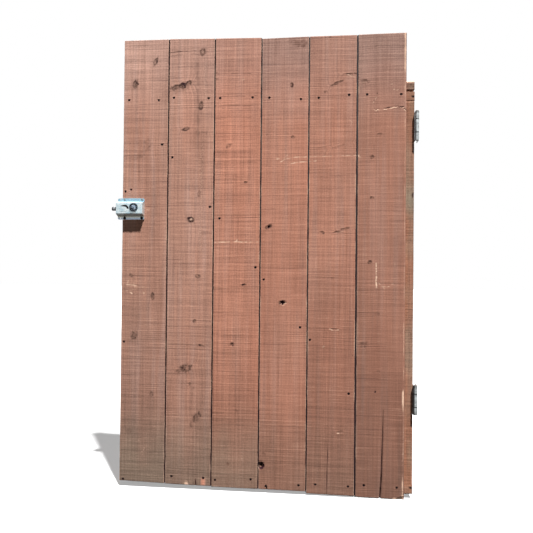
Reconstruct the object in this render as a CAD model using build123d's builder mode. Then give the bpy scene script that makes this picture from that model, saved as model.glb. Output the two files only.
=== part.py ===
from build123d import *
import os
from math import hypot, radians, sin

# Wooden gate: six rough boards nailed to a frame of 2x4s with a brace, a rim lock
# on the latch side and two butt hinges on the other. X runs along the gate towards
# the hinges, Y from the front to the back and Z up. The origin is the middle of the
# whole gate's base, hardware included.

os.makedirs("parts", exist_ok=True)

# Boards, measured from the left edge of the first one
BOARD_W, BOARD_T, BOARD_GAP = 192.15, 17.0, 0.3
PITCH = BOARD_W + BOARD_GAP
# Their edges are worn off square, across the face and into the edge, so each joint is
# open in front and closed behind. The last board's free edge is worn more.
FACE_WEAR, EDGE_WEAR = 2.0, 11.0
WORN_ARRIS = 4.0
# Each board's own ends, left and right corner: no two were cut quite alike
BOARD_FEET = [(24, 20), (19, 17), (15, 15), (15, 14), (7, 5), (3, 0)]
BOARD_TOPS = [(1846, 1846), (1847, 1843), (1843, 1840), (1836, 1839), (1839, 1839), (1840, 1842)]
BOARDS_W = len(BOARD_FEET) * PITCH - BOARD_GAP

# Frame of 2x4s standing on edge behind the boards
TIMBER_W, TIMBER_D = 38.0, 89.0
LAP_D = TIMBER_D / 2
STILE_REVEAL = 33.6
FRAME_W = BOARDS_W + STILE_REVEAL
FRAME_FOOT = 17.0
TOP_RAIL_Z = 1575.0
LAP_PLAY = 8.0
HORN_TOP = 1656.0
HORN_BEVEL = 7.0
BRACE_FOOT_Z = 130.0
RAIL_Z = {"top_rail": TOP_RAIL_Z, "bottom_rail": FRAME_FOOT}

# Nails: flat heads on square shanks, set a little below the wood. There are so many
# nails and screws that their heads and shanks are cut with few sides.
NAIL_HEAD_R, NAIL_HEAD_T, NAIL_SET = 3.5, 1.2, 1.0
NAIL_SHANK, NAIL_LEN = 3.2, 60.0
NAIL_PLAY = 0.1
HEAD_SIDES, SHANK_SIDES = 8, 6
# Where each nail stands: along the gate, then above the middle of its rail
TOP_NAILS = [
    (24, 3), (150, 0), (214, 9), (359, 4), (407, 3), (541, 3),
    (609, 0), (737, -8), (808, -4), (929, 5), (1000, 5), (1133, 3),
]
BOTTOM_NAILS = [
    (17, -6), (221, 14), (353, 13), (402, 7), (547, 16),
    (609, -8), (740, 1), (807, 8), (936, 6), (998, 13), (1126, 10),
]
# The brace's nails, along the gate, then across the brace's middle line
BRACE_NAILS = [(166, 2), (210, 5), (369, 7), (409, 12), (558, 7), (593, 4), (741, 6), (781, 9), (936, 0)]
STILE_NAILS = [(13, 1217), (14, 595)]
LAP_NAILS = [(1182, 1592), (1182, 41), (9, 1584), (8, 46)]

# Hinges: three-knuckle butt hinges on the side of the hinge stile
HINGE_H, LEAF_T, LEAF_W = 114.0, 3.0, 46.0
BARREL_R, PIN_R, PIN_PLAY = 8.0, 4.0, 0.05
PIN_HEAD_R, PIN_HEAD_H, PIN_PROUD = 6.2, 3.0, 0.4
MIDDLE_KNUCKLE_H, KNUCKLE_PLAY = 51.4, 0.6
KNUCKLE_RELIEF = 9.0
HINGE_Z = {"upper": 1472.0, "lower": 389.0}
BARREL_PROUD = 2.5
# Knuckles, up the barrel: the post's leaf has the middle one, the gate's leaf the outer two
HALF_MIDDLE = MIDDLE_KNUCKLE_H / 2
CLEAR = HALF_MIDDLE + KNUCKLE_PLAY
MIDDLE = [(-HALF_MIDDLE, HALF_MIDDLE)]
OUTER = [(-HINGE_H / 2, -CLEAR), (CLEAR, HINGE_H / 2)]
MIDDLE_RELIEF = [(-CLEAR, CLEAR)]
OUTER_RELIEF = [(-HINGE_H / 2 - 1, -HALF_MIDDLE), (HALF_MIDDLE, HINGE_H / 2 + 1)]
LEAF_HOLES = [(21.0, 42.0), (21.0, -42.0), (36.0, 16.0), (36.0, -16.0)]
LEAF_HOLE_R = 2.6
WOODSCREW_R, WOODSCREW_HEAD_R, WOODSCREW_HEAD_H, WOODSCREW_LEN = 2.2, 4.4, 2.4, 32.0

# Rim lock: its middle along the gate and up it, then its levels in front of the boards
LOCK_X, LOCK_Z = 39.0, 1144.5
LOCK_W, LOCK_H = 112.0, 88.0
FLANGE_BAND, SLOPE, FLANGE_BOW, FLANGE_CORNER = 12.0, 10.0, 1.5, 5.0
SHEET_T = 1.5
CASE_D = 28.0
CASE_FILLET = 2.5
LOCK_HOLES = [(-45.0, 38.0), (-27.0, 38.0), (45.5, 38.0), (-45.0, -38.0), (-27.0, -38.0), (45.5, -38.0)]
ZINC_SCREWS, BLACK_SCREWS = [LOCK_HOLES[1], LOCK_HOLES[2]], [LOCK_HOLES[4], LOCK_HOLES[5]]
LOCK_HOLE_R, LOCKSCREW_R, LOCKSCREW_HEAD_R = 2.5, 2.2, 4.0
LOCKSCREW_HEAD_H, LOCKSCREW_LEN = 2.2, 17.0

# Embossed pad on the lock's face, and the curved slot that follows its top and right side
PAD_LEFT, PAD_X, PAD_Z, PAD_R, PAD_RISE = -40.0, -18.5, -3.0, 10.5, 0.6
SLOT_IN_R, SLOT_OUT_R, SLOT_TAIL = 11.3, 15.0, -37.0

# Lock cylinder, plug and cam
CYL_X, CYL_Z, CYL_R = 18.5, 3.0, 15.75
CYL_BACK, CYL_PROUD, CYL_WINDOW_R = 9.5, 4.0, 16.8
DISH_R, DISH_H = 13.2, 1.4
PLUG_R, PLUG_SUNK, TURN_PLAY = 10.2, 1.0, 0.2
KEYWAY_W, KEYWAY_L, KEYWAY_D, KEYWAY_ANGLE = 2.4, 11.0, 12.0, 45.0
FOOT_W, FOOT_H, FOOT_RISE = 20.0, 4.0, 11.8
CAM_BACK, CAM_T, CAM_HUB_R, CAM_TIP_R, CAM_SQUARE, CAM_PLAY = 5.0, 3.0, 6.5, 2.5, 6.0, 0.05
BOLT_TRAVEL = 20.0
CAM_REACH = BOLT_TRAVEL / 2 / sin(radians(45))

# Bolt: a round bar with a flat tail plate that the cam pushes
BOLT_R, BOLT_NECK_R, BOLT_D, BOLT_Z = 8.0, 7.5, 14.0, -1.0
BOLT_THROW, BOLT_SHOULDER, BOLT_NOSE_BEVEL = 20.0, 1.0, 1.5
BOLT_END, FOOT_X, FOOT_T = -24.0, -30.0, 5.0
TAIL_LOW, TAIL_HIGH, TAIL_FOOT_TOP, TAIL_END = -20.0, -7.5, 3.0, 17.0
NOTCH_W, NOTCH_FLOOR, NOTCH_H = 8.4, -14.6, 10.0
CASE_BOLT_HOLE_R, LUG_HOLE_R, LUG_X, LUG_T, LUG_HALF_W, LUG_TOP = 8.5, 7.9, -35.0, 3.0, 11.0, 24.5

# Knots, splits and breaks that go into the wood, from their own board's left edge
KNOT_HOLE = [(9, 102), (14, 104), (17, 110), (16, 118), (13, 122), (9, 120), (7, 113), (8, 107)]
STAR_PIT = [(81, 765), (87, 762), (91, 760), (95, 763), (103, 766), (96, 769), (93, 773), (88, 768)]
SMALL_PIT = [(30, 1067), (35, 1065), (39, 1070), (37, 1076), (32, 1077), (29, 1072)]
STAR_PIT_D, SMALL_PIT_D = 8.0, 4.0
KNOTTY_BOARD = 4
SPLIT = [
    (109.4, 348.0), (106.3, 191.0), (104.1, 74.0), (99.9, 0.0),
    (96.7, 0.0), (101.5, 74.0), (105.1, 191.0),
]
SPALL = [(172.0, -1.0), (175.0, 4.0), (185.0, 6.5), (BOARD_W + 1, 9.0), (BOARD_W + 1, -1.0)]
SPALL_D = 6.0

# The frame's own reach sets the origin: the bolt's nose on the left, the post on
# the right, the lock's collar in front and the timber behind
POST_GAP = 2 * BARREL_R
LATCH_REACH = LOCK_W / 2 - LOCK_X + BOLT_THROW
LEFT = -(FRAME_W + POST_GAP - LATCH_REACH) / 2
FRONT = -(BOARD_T + TIMBER_D - CASE_D - CYL_PROUD) / 2
PIN_X, PIN_Y = LEFT + FRAME_W + BARREL_R, FRONT - BARREL_PROUD + BARREL_R


def facing(forward=0.0, x=0.0, z=0.0):
    """A plane parallel to the boards, seen from the front, so far forward of their faces."""
    return Plane(origin=(LEFT + x, FRONT - forward, z), x_dir=(1, 0, 0), z_dir=(0, -1, 0))


def lock_plane(forward):
    """The same kind of plane with its middle at the lock's middle."""
    return facing(forward, LOCK_X, LOCK_Z)


def across(x, y=0.0, z=0.0):
    """A plane square to X: its own x runs to the back and its own y runs up."""
    return Plane(origin=(x, y, z), x_dir=(0, 1, 0), z_dir=(1, 0, 0))


def brace_line(x):
    """Height of the brace's middle line, from the corner under the top rail to its foot."""
    slope = (BRACE_FOOT_Z - TOP_RAIL_Z) / (FRAME_W - 2 * TIMBER_W)
    return TOP_RAIL_Z + slope * (x - TIMBER_W)


def rail_nails(places, rail):
    """Nail places along the gate and up it, from places above the rail's middle."""
    return [(x, RAIL_Z[rail] + TIMBER_W / 2 + dz) for x, dz in places]


TOP_PLACES = rail_nails(TOP_NAILS, "top_rail")
BOTTOM_PLACES = rail_nails(BOTTOM_NAILS, "bottom_rail")
BRACE_PLACES = [(x, brace_line(x) + dz) for x, dz in BRACE_NAILS]
BOARD_NAILS = TOP_PLACES + BOTTOM_PLACES + BRACE_PLACES + STILE_NAILS


def cut_nail_seats(places, level):
    """Sinks for the nails' heads in the face that lies so far forward."""
    with BuildSketch(facing(level)) as seats:
        with Locations(*places):
            RegularPolygon(NAIL_HEAD_R + NAIL_PLAY, HEAD_SIDES)
    extrude(seats.sketch, amount=-(NAIL_SET + NAIL_HEAD_T), mode=Mode.SUBTRACT)


def cut_nail_holes(places, level, depth):
    """Square holes for the nails' shanks, driven back from that face."""
    with BuildSketch(facing(level)) as holes:
        with Locations(*places):
            Rectangle(NAIL_SHANK + NAIL_PLAY, NAIL_SHANK + NAIL_PLAY)
    extrude(holes.sketch, amount=-depth, mode=Mode.SUBTRACT)


def nails(places, level):
    """Nails in one face: flat heads and square shanks."""
    top = level - NAIL_SET
    with BuildPart() as group:
        with BuildSketch(facing(top)):
            with Locations(*places):
                RegularPolygon(NAIL_HEAD_R, HEAD_SIDES)
        extrude(amount=-NAIL_HEAD_T)
        with BuildSketch(facing(top)):
            with Locations(*places):
                Rectangle(NAIL_SHANK, NAIL_SHANK)
        extrude(amount=-NAIL_LEN)
    return group


def screws(plane, places, head_r, head_h, shank_r, length):
    """Screws whose heads rest on the plane and whose shanks run back behind it."""
    with BuildPart() as group:
        with BuildSketch(plane):
            with Locations(*places):
                RegularPolygon(head_r, HEAD_SIDES)
        extrude(amount=head_h)
        with BuildSketch(plane):
            with Locations(*places):
                RegularPolygon(shank_r, SHANK_SIDES)
        extrude(amount=-length)
    return group


def cut_screw_holes(plane, places, shank_r, depth):
    """Holes for such screws' shanks."""
    with BuildSketch(plane) as holes:
        with Locations(*places):
            RegularPolygon(shank_r + NAIL_PLAY, SHANK_SIDES)
    extrude(holes.sketch, amount=-depth, mode=Mode.SUBTRACT)


def wear_edge(board, side, across_face, into_edge):
    """Wears off a board's left (0) or right (-1) front edge."""
    edge = board.edges().filter_by(Axis.Z).group_by(Axis.Y)[0].sort_by(Axis.X)[side]
    face = board.faces().filter_by(Axis.Y).sort_by(Axis.Y)[0]
    chamfer(edge, across_face, into_edge, reference=face)


def cut_outline(points, x, depth):
    """A gap with a straight-sided outline, cut back from the boards' faces."""
    with BuildSketch(facing(0, x)) as gap:
        Polygon(*points, align=None)
    extrude(gap.sketch, amount=-depth, mode=Mode.SUBTRACT)


# Boards: each one is sawn to its own length, with its own knots, splits and nail holes
for number, (feet, tops) in enumerate(zip(BOARD_FEET, BOARD_TOPS), start=1):
    left = (number - 1) * PITCH
    own_nails = [p for p in BOARD_NAILS if left < p[0] < left + BOARD_W]
    with BuildPart() as board:
        with BuildSketch(facing(0, left)):
            Polygon((0, feet[0]), (BOARD_W, feet[1]), (BOARD_W, tops[1]), (0, tops[0]), align=None)
        extrude(amount=-BOARD_T)
        wear_edge(board, 0, FACE_WEAR, EDGE_WEAR)
        if number == len(BOARD_FEET):
            wear_edge(board, -1, WORN_ARRIS, WORN_ARRIS)
        else:
            wear_edge(board, -1, FACE_WEAR, EDGE_WEAR)
        cut_nail_seats(own_nails, 0)
        cut_nail_holes(own_nails, 0, BOARD_T)
        if number == 1:
            lock_screw_depth = LOCKSCREW_LEN - 2 * SHEET_T + NAIL_PLAY
            cut_screw_holes(lock_plane(0), ZINC_SCREWS + BLACK_SCREWS, LOCKSCREW_R, lock_screw_depth)
        if number == KNOTTY_BOARD:
            cut_outline(KNOT_HOLE, left, BOARD_T)
            cut_outline(STAR_PIT, left, STAR_PIT_D)
            cut_outline(SMALL_PIT, left, SMALL_PIT_D)
        if number == len(BOARD_FEET):
            cut_outline(SPLIT, left, BOARD_T)
            cut_outline(SPALL, left, SPALL_D)
    board.part.label = f"board_{number}"
    export_step(board.part, f"parts/board_{number}.step")

# Stiles: their front half is cut away where the rails lap over them. The upper lap
# was cut too long, which leaves a gap under the horn.
HINGE_STILE_X = FRAME_W - TIMBER_W
FRAME_NAIL_DEPTH = NAIL_LEN + NAIL_SET - BOARD_T + NAIL_PLAY
for name, x in (("latch_stile", 0.0), ("hinge_stile", HINGE_STILE_X)):
    with BuildPart() as stile:
        with BuildSketch(facing(-BOARD_T, x)):
            with Locations((TIMBER_W / 2, (FRAME_FOOT + HORN_TOP) / 2)):
                Rectangle(TIMBER_W, HORN_TOP - FRAME_FOOT)
        extrude(amount=-TIMBER_D)
        front_top = stile.edges().filter_by(Axis.X).group_by(Axis.Z)[-1].sort_by(Axis.Y)[0]
        chamfer(front_top, HORN_BEVEL)
        with BuildSketch(facing(-BOARD_T, x)):
            for low, height in ((FRAME_FOOT, TIMBER_W), (TOP_RAIL_Z, TIMBER_W + LAP_PLAY)):
                with Locations((TIMBER_W / 2, low + height / 2)):
                    Rectangle(TIMBER_W, height)
        extrude(amount=-LAP_D, mode=Mode.SUBTRACT)
        lap_nails = [p for p in LAP_NAILS if x < p[0] < x + TIMBER_W]
        cut_nail_holes(lap_nails, -BOARD_T, NAIL_SET + NAIL_LEN + NAIL_PLAY)
        board_nails = [p for p in STILE_NAILS + TOP_PLACES + BOTTOM_PLACES if x < p[0] < x + TIMBER_W]
        if board_nails:
            cut_nail_holes(board_nails, -BOARD_T, FRAME_NAIL_DEPTH)
        if name == "hinge_stile":
            for z in HINGE_Z.values():
                side = across(LEFT + FRAME_W, PIN_Y, z)
                cut_screw_holes(side, LEAF_HOLES, WOODSCREW_R, WOODSCREW_LEN - LEAF_T + NAIL_PLAY)
    stile.part.label = name
    export_step(stile.part, f"parts/{name}.step")

# Rails: full depth between the stiles, half depth where they lap over them
for name, places in (("top_rail", TOP_PLACES), ("bottom_rail", BOTTOM_PLACES)):
    low = RAIL_Z[name]
    high = low + TIMBER_W
    middle = (FRAME_W / 2, low + TIMBER_W / 2)
    with BuildPart() as rail:
        with BuildSketch(facing(-BOARD_T)):
            with Locations(middle):
                Rectangle(FRAME_W, TIMBER_W)
        extrude(amount=-LAP_D)
        with BuildSketch(facing(-BOARD_T - LAP_D)):
            with Locations(middle):
                Rectangle(FRAME_W - 2 * TIMBER_W, TIMBER_W)
        extrude(amount=-LAP_D)
        cut_nail_holes(places, -BOARD_T, FRAME_NAIL_DEPTH)
        lap_nails = [p for p in LAP_NAILS if low < p[1] < high]
        cut_nail_seats(lap_nails, -BOARD_T)
        cut_nail_holes(lap_nails, -BOARD_T, LAP_D)
    rail.part.label = name
    export_step(rail.part, f"parts/{name}.step")

# Brace: its head fits the corner under the top rail and its foot is cut plumb
# against the hinge stile
BRACE_RUN = FRAME_W - 2 * TIMBER_W
BRACE_RISE = TOP_RAIL_Z - BRACE_FOOT_Z
BRACE_HALF_V = TIMBER_W / 2 * hypot(BRACE_RUN, BRACE_RISE) / BRACE_RUN
BRACE_HALF_H = TIMBER_W / 2 * hypot(BRACE_RUN, BRACE_RISE) / BRACE_RISE
with BuildPart() as brace:
    with BuildSketch(facing(-BOARD_T)):
        Polygon(
            (TIMBER_W, TOP_RAIL_Z),
            (TIMBER_W, TOP_RAIL_Z - BRACE_HALF_V),
            (HINGE_STILE_X, BRACE_FOOT_Z - BRACE_HALF_V),
            (HINGE_STILE_X, BRACE_FOOT_Z + BRACE_HALF_V),
            (TIMBER_W + BRACE_HALF_H, TOP_RAIL_Z),
            align=None,
        )
    extrude(amount=-TIMBER_D)
    cut_nail_holes(BRACE_PLACES, -BOARD_T, FRAME_NAIL_DEPTH)
brace.part.label = "brace"
export_step(brace.part, "parts/brace.step")

# Nails, grouped by the timber that they are driven into
NAIL_GROUPS = {
    "top_rail_nails": (TOP_PLACES, 0.0),
    "bottom_rail_nails": (BOTTOM_PLACES, 0.0),
    "brace_nails": (BRACE_PLACES, 0.0),
    "stile_nails": (STILE_NAILS, 0.0),
    "lap_nails": (LAP_NAILS, -BOARD_T),
}
for name, (places, level) in NAIL_GROUPS.items():
    group = nails(places, level)
    group.part.label = name
    export_step(group.part, f"parts/{name}.step")


def leaf_plate(side, relieved):
    """A leaf's plate with its knuckle reliefs, on the gate's side (-1) or the post's (+1)."""
    outer_x = side * BARREL_R if side < 0 else BARREL_R - LEAF_T
    with BuildSketch(across(PIN_X + outer_x, PIN_Y)) as plate:
        with Locations((LEAF_W / 2, 0)):
            Rectangle(LEAF_W, HINGE_H)
        fillet(plate.vertices().group_by(Axis.Y)[-1], LEAF_T)
        for low, high in relieved:
            with Locations((0, (low + high) / 2)):
                Rectangle(2 * KNUCKLE_RELIEF, high - low, mode=Mode.SUBTRACT)
    extrude(plate.sketch, amount=LEAF_T)


def hinge_leaf(z, side, knuckles, relieved):
    """One leaf: plate, its knuckles, the bore for the pin and four screw holes.

    The post's holes wait for their screws, so they are truly round.
    """
    with BuildPart() as leaf:
        leaf_plate(side, relieved)
        for low, high in knuckles:
            with BuildSketch(Plane.XY.offset(low)):
                with Locations((PIN_X, PIN_Y)):
                    Circle(BARREL_R)
            extrude(amount=high - low)
        with BuildSketch(Plane.XY.offset(-HINGE_H / 2)):
            with Locations((PIN_X, PIN_Y)):
                Circle(PIN_R + PIN_PLAY)
        extrude(amount=HINGE_H, mode=Mode.SUBTRACT)
        with BuildSketch(across(PIN_X + side * (BARREL_R - LEAF_T), PIN_Y)):
            with Locations(*LEAF_HOLES):
                if side > 0:
                    Circle(LEAF_HOLE_R)
                else:
                    RegularPolygon(LEAF_HOLE_R, HEAD_SIDES)
        extrude(amount=side * LEAF_T, mode=Mode.SUBTRACT)
    return leaf.part.moved(Location((0, 0, z)))


def hinge_pin(z):
    """The pin and the flat head that holds it up, turned as one."""
    reach = HINGE_H / 2 + PIN_PROUD
    with BuildPart(Plane.XY.offset(z)) as pin:
        with Locations((PIN_X, PIN_Y)):
            Cylinder(PIN_R, 2 * reach)
            with Locations((0, 0, reach + PIN_HEAD_H / 2)):
                Cylinder(PIN_HEAD_R, PIN_HEAD_H)
    return pin.part


def hinge_screws(z):
    """Four wood screws through the gate's leaf into the stile."""
    inner = across(PIN_X - BARREL_R + LEAF_T, PIN_Y, z)
    return screws(inner, LEAF_HOLES, WOODSCREW_HEAD_R, WOODSCREW_HEAD_H, WOODSCREW_R, WOODSCREW_LEN).part


# Two hinges: the gate's leaf has the outer knuckles, the post's leaf the middle one
for where, z in HINGE_Z.items():
    pieces = {
        "gate_leaf": hinge_leaf(z, -1, OUTER, MIDDLE_RELIEF),
        "post_leaf": hinge_leaf(z, 1, MIDDLE, OUTER_RELIEF),
        "pin": hinge_pin(z),
        "screws": hinge_screws(z),
    }
    for piece, solid in pieces.items():
        solid.label = f"{where}_hinge_{piece}"
        export_step(solid, f"parts/{where}_hinge_{piece}.step")


def flange(level):
    """A sheet of the lock's outline, its top edge slightly bowed, with the screw holes."""
    half_w, half_h = LOCK_W / 2, LOCK_H / 2
    shoulder = half_h - FLANGE_BOW
    with BuildSketch(lock_plane(level)) as outline:
        with BuildLine():
            Polyline((-half_w, shoulder), (-half_w, -half_h), (half_w, -half_h), (half_w, shoulder))
            ThreePointArc((-half_w, shoulder), (0, half_h), (half_w, shoulder))
        make_face()
        fillet(outline.vertices(), FLANGE_CORNER)
        with Locations(*LOCK_HOLES):
            RegularPolygon(LOCK_HOLE_R, HEAD_SIDES, mode=Mode.SUBTRACT)
    extrude(outline.sketch, amount=SHEET_T)


# Lock backplate: flat, with a bent lug that guides the bolt's neck
with BuildPart() as lock_backplate:
    flange(0)
    with BuildSketch(across(LEFT + LOCK_X + LUG_X, FRONT, LOCK_Z + BOLT_Z)) as lug:
        with Locations((-LUG_TOP / 2, 0)):
            Rectangle(LUG_TOP, 2 * LUG_HALF_W)
        fillet(lug.vertices().group_by(Axis.Y)[0], FLANGE_CORNER)
        with Locations((-BOLT_D, 0)):
            Circle(LUG_HOLE_R, mode=Mode.SUBTRACT)
    extrude(amount=LUG_T)
lock_backplate.part.label = "lock_backplate"
export_step(lock_backplate.part, "parts/lock_backplate.step")


def case_section(inset):
    """The raised case's section, as seen along X: a box with sloping top and bottom."""
    half_face = LOCK_H / 2 - FLANGE_BAND - SLOPE
    run, rise = SLOPE, CASE_D - 2 * SHEET_T
    skew = inset * hypot(run, rise) / rise
    low = SHEET_T
    foot = half_face + run + (2 * SHEET_T - low) * run / rise - skew
    top = half_face + inset * run / rise - skew
    Polygon(
        (-low, -foot), (-(CASE_D - inset), -top), (-(CASE_D - inset), top), (-low, foot), align=None
    )


# Lock case: pressed sheet with flanges above and below, hollow, with the window for
# the cylinder, the hole for the bolt, an embossed pad and a curved slot beside it
with BuildPart() as lock_case:
    with BuildSketch(across(LEFT + LOCK_X, FRONT, LOCK_Z)):
        case_section(0)
    extrude(amount=LOCK_W / 2, both=True)
    front_edges = lock_case.faces().sort_by(Axis.Y)[0].edges()
    fillet(front_edges, CASE_FILLET)
    flange(SHEET_T)
    with BuildSketch(lock_plane(CASE_D)):
        with Locations((PAD_X, PAD_Z)):
            Circle(PAD_R)
        with Locations(((PAD_LEFT + PAD_X) / 2, PAD_Z)):
            Rectangle(PAD_X - PAD_LEFT, 2 * PAD_R)
    extrude(amount=PAD_RISE)
    with BuildSketch(across(LEFT + LOCK_X, FRONT, LOCK_Z)):
        case_section(SHEET_T)
    extrude(amount=LOCK_W / 2 - SHEET_T, both=True, mode=Mode.SUBTRACT)
    with BuildSketch(lock_plane(CASE_D)):
        with Locations((CYL_X, CYL_Z)):
            Circle(CYL_WINDOW_R)
        with BuildLine():
            Line((SLOT_TAIL, PAD_Z + SLOT_IN_R + 1), (PAD_X, PAD_Z + SLOT_OUT_R))
            CenterArc((PAD_X, PAD_Z), SLOT_OUT_R, 90, -90)
            Line((PAD_X + SLOT_OUT_R, PAD_Z), (PAD_X + SLOT_IN_R, PAD_Z))
            CenterArc((PAD_X, PAD_Z), SLOT_IN_R, 0, 90)
            Line((PAD_X, PAD_Z + SLOT_IN_R), (SLOT_TAIL, PAD_Z + SLOT_IN_R + 1))
        make_face()
    extrude(amount=-2 * SHEET_T, mode=Mode.SUBTRACT)
    with BuildSketch(across(LEFT + LOCK_X - LOCK_W / 2, FRONT, LOCK_Z)):
        with Locations((-BOLT_D, BOLT_Z)):
            Circle(CASE_BOLT_HOLE_R)
    extrude(amount=2 * SHEET_T, mode=Mode.SUBTRACT)
lock_case.part.label = "lock_case"
export_step(lock_case.part, "parts/lock_case.step")

# Bolt: round nose and neck, a foot behind them and the notched tail plate
with BuildPart() as bolt:
    shoulder = -LOCK_W / 2 - BOLT_SHOULDER
    tip = -LOCK_W / 2 - BOLT_THROW
    with BuildSketch(across(LEFT + LOCK_X + tip, FRONT, LOCK_Z)):
        with Locations((-BOLT_D, BOLT_Z)):
            Circle(BOLT_R)
    extrude(amount=shoulder - tip)
    chamfer(bolt.faces().sort_by(Axis.X)[0].edges(), BOLT_NOSE_BEVEL)
    with BuildSketch(across(LEFT + LOCK_X + shoulder, FRONT, LOCK_Z)):
        with Locations((-BOLT_D, BOLT_Z)):
            Circle(BOLT_NECK_R)
    extrude(amount=BOLT_END - shoulder)
    with BuildSketch(lock_plane(CAM_BACK)):
        with Locations(((FOOT_X + BOLT_END) / 2, (TAIL_LOW + TAIL_FOOT_TOP) / 2)):
            Rectangle(BOLT_END - FOOT_X, TAIL_FOOT_TOP - TAIL_LOW)
    extrude(amount=FOOT_T)
    with BuildSketch(lock_plane(CAM_BACK)):
        with Locations(((FOOT_X + TAIL_END) / 2, (TAIL_LOW + TAIL_HIGH) / 2)):
            Rectangle(TAIL_END - FOOT_X, TAIL_HIGH - TAIL_LOW)
        with Locations((CYL_X - BOLT_TRAVEL / 2, NOTCH_FLOOR + NOTCH_H / 2)):
            Rectangle(NOTCH_W, NOTCH_H, mode=Mode.SUBTRACT)
    extrude(amount=CAM_T)
bolt.part.label = "bolt"
export_step(bolt.part, "parts/bolt.step")

# Cylinder body: turned, with a stepped face and one foot on the backplate
CYL_FRONT = CASE_D + CYL_PROUD
PLUG_FRONT = CYL_FRONT - PLUG_SUNK
with BuildPart() as cylinder_body:
    with BuildSketch(lock_plane(CYL_BACK)):
        with Locations((CYL_X, CYL_Z)):
            Circle(CYL_R)
            Circle(PLUG_R + TURN_PLAY, mode=Mode.SUBTRACT)
    extrude(amount=CYL_FRONT - CYL_BACK)
    with BuildSketch(lock_plane(CYL_FRONT)):
        with Locations((CYL_X, CYL_Z)):
            Circle(DISH_R)
    extrude(amount=-DISH_H, mode=Mode.SUBTRACT)
    with BuildSketch(lock_plane(SHEET_T)):
        with Locations((CYL_X, CYL_Z + FOOT_RISE)):
            Rectangle(FOOT_W, FOOT_H)
    extrude(amount=CYL_BACK - SHEET_T)
cylinder_body.part.label = "cylinder_body"
export_step(cylinder_body.part, "parts/cylinder_body.step")

# Plug: turned, with a square tail that carries the cam and the keyway cut across its face
with BuildPart() as cylinder_plug:
    with BuildSketch(lock_plane(CYL_BACK)):
        with Locations((CYL_X, CYL_Z)):
            Circle(PLUG_R)
    extrude(amount=PLUG_FRONT - CYL_BACK)
    with BuildSketch(lock_plane(CYL_BACK)):
        with Locations((CYL_X, CYL_Z)):
            Rectangle(CAM_SQUARE, CAM_SQUARE, rotation=45)
    extrude(amount=-(CYL_BACK - CAM_BACK))
    with BuildSketch(lock_plane(PLUG_FRONT)):
        with Locations((CYL_X, CYL_Z)):
            Rectangle(KEYWAY_L, KEYWAY_W, rotation=KEYWAY_ANGLE)
    extrude(amount=-KEYWAY_D, mode=Mode.SUBTRACT)
cylinder_plug.part.label = "cylinder_plug"
export_step(cylinder_plug.part, "parts/cylinder_plug.step")

# Cam: a finger on the plug's tail, half its swing before straight down
with BuildPart() as cam:
    with BuildSketch(lock_plane(CAM_BACK)):
        with Locations(Location((CYL_X, CYL_Z, 0), (0, 0, -135))):
            Circle(CAM_HUB_R)
            with Locations((CAM_REACH / 2, 0)):
                Rectangle(CAM_REACH, 2 * CAM_TIP_R)
            with Locations((CAM_REACH, 0)):
                Circle(CAM_TIP_R)
            Rectangle(CAM_SQUARE + 2 * CAM_PLAY, CAM_SQUARE + 2 * CAM_PLAY, mode=Mode.SUBTRACT)
    extrude(amount=CAM_T)
cam.part.label = "cam"
export_step(cam.part, "parts/cam.step")

# Lock screws: pan heads, two of them zinc plated and two black
for name, places in (("lock_screws_zinc", ZINC_SCREWS), ("lock_screws_black", BLACK_SCREWS)):
    group = screws(
        lock_plane(2 * SHEET_T), places, LOCKSCREW_HEAD_R, LOCKSCREW_HEAD_H, LOCKSCREW_R, LOCKSCREW_LEN
    )
    group.part.label = name
    export_step(group.part, f"parts/{name}.step")
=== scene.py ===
import math

import bpy
import numpy as np
from mathutils import Matrix, Vector


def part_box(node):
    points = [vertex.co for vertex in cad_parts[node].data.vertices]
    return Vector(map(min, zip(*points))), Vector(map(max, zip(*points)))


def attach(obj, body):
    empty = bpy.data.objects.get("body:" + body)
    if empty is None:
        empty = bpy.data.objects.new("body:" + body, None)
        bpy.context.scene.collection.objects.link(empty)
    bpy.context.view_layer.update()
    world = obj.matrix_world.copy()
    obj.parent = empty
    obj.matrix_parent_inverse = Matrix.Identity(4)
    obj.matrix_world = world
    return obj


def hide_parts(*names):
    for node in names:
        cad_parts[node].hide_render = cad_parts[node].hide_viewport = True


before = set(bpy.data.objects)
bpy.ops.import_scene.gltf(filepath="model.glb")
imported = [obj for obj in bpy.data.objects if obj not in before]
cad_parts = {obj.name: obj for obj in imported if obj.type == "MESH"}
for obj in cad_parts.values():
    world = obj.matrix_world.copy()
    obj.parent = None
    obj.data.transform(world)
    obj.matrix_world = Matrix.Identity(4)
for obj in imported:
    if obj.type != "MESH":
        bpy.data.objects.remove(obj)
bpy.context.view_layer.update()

# View: the eye stands 2.2 m in front of the gate, level with its middle and to the right
# of it. A high lamp from the right casts the shadows. A weak fill from behind casts none
# and reaches the back alone.
MM = 0.001
EYE = (238.5 * MM, -2246.5 * MM, 885.6 * MM)
YAW, PITCH, ROLL = math.radians(5.636), math.radians(0.649), math.radians(0.537)
FOCAL_PX, PICTURE_PX, SENSOR = 550, 533, 36
LAMPS = {  # power, spread in degrees, whether it casts shadows, and where it stands
    "high_lamp": (8.55, 2, True, (0.62, -1, 2.62)),
    "back_fill": (3.2, 0.526, False, (-0.8, 1, 0.7)),
}

ahead = Vector((-math.sin(YAW) * math.cos(PITCH), math.cos(YAW) * math.cos(PITCH), math.sin(PITCH)))
level = Vector((math.cos(YAW), math.sin(YAW), 0))
upward = level.cross(ahead)
right = math.cos(ROLL) * level + math.sin(ROLL) * upward
above = math.cos(ROLL) * upward - math.sin(ROLL) * level


def put(name, data):
    """A new object in the scene that shows this camera, lamp or mesh."""
    made = bpy.data.objects.new(name, data)
    bpy.context.scene.collection.objects.link(made)
    return made


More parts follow.
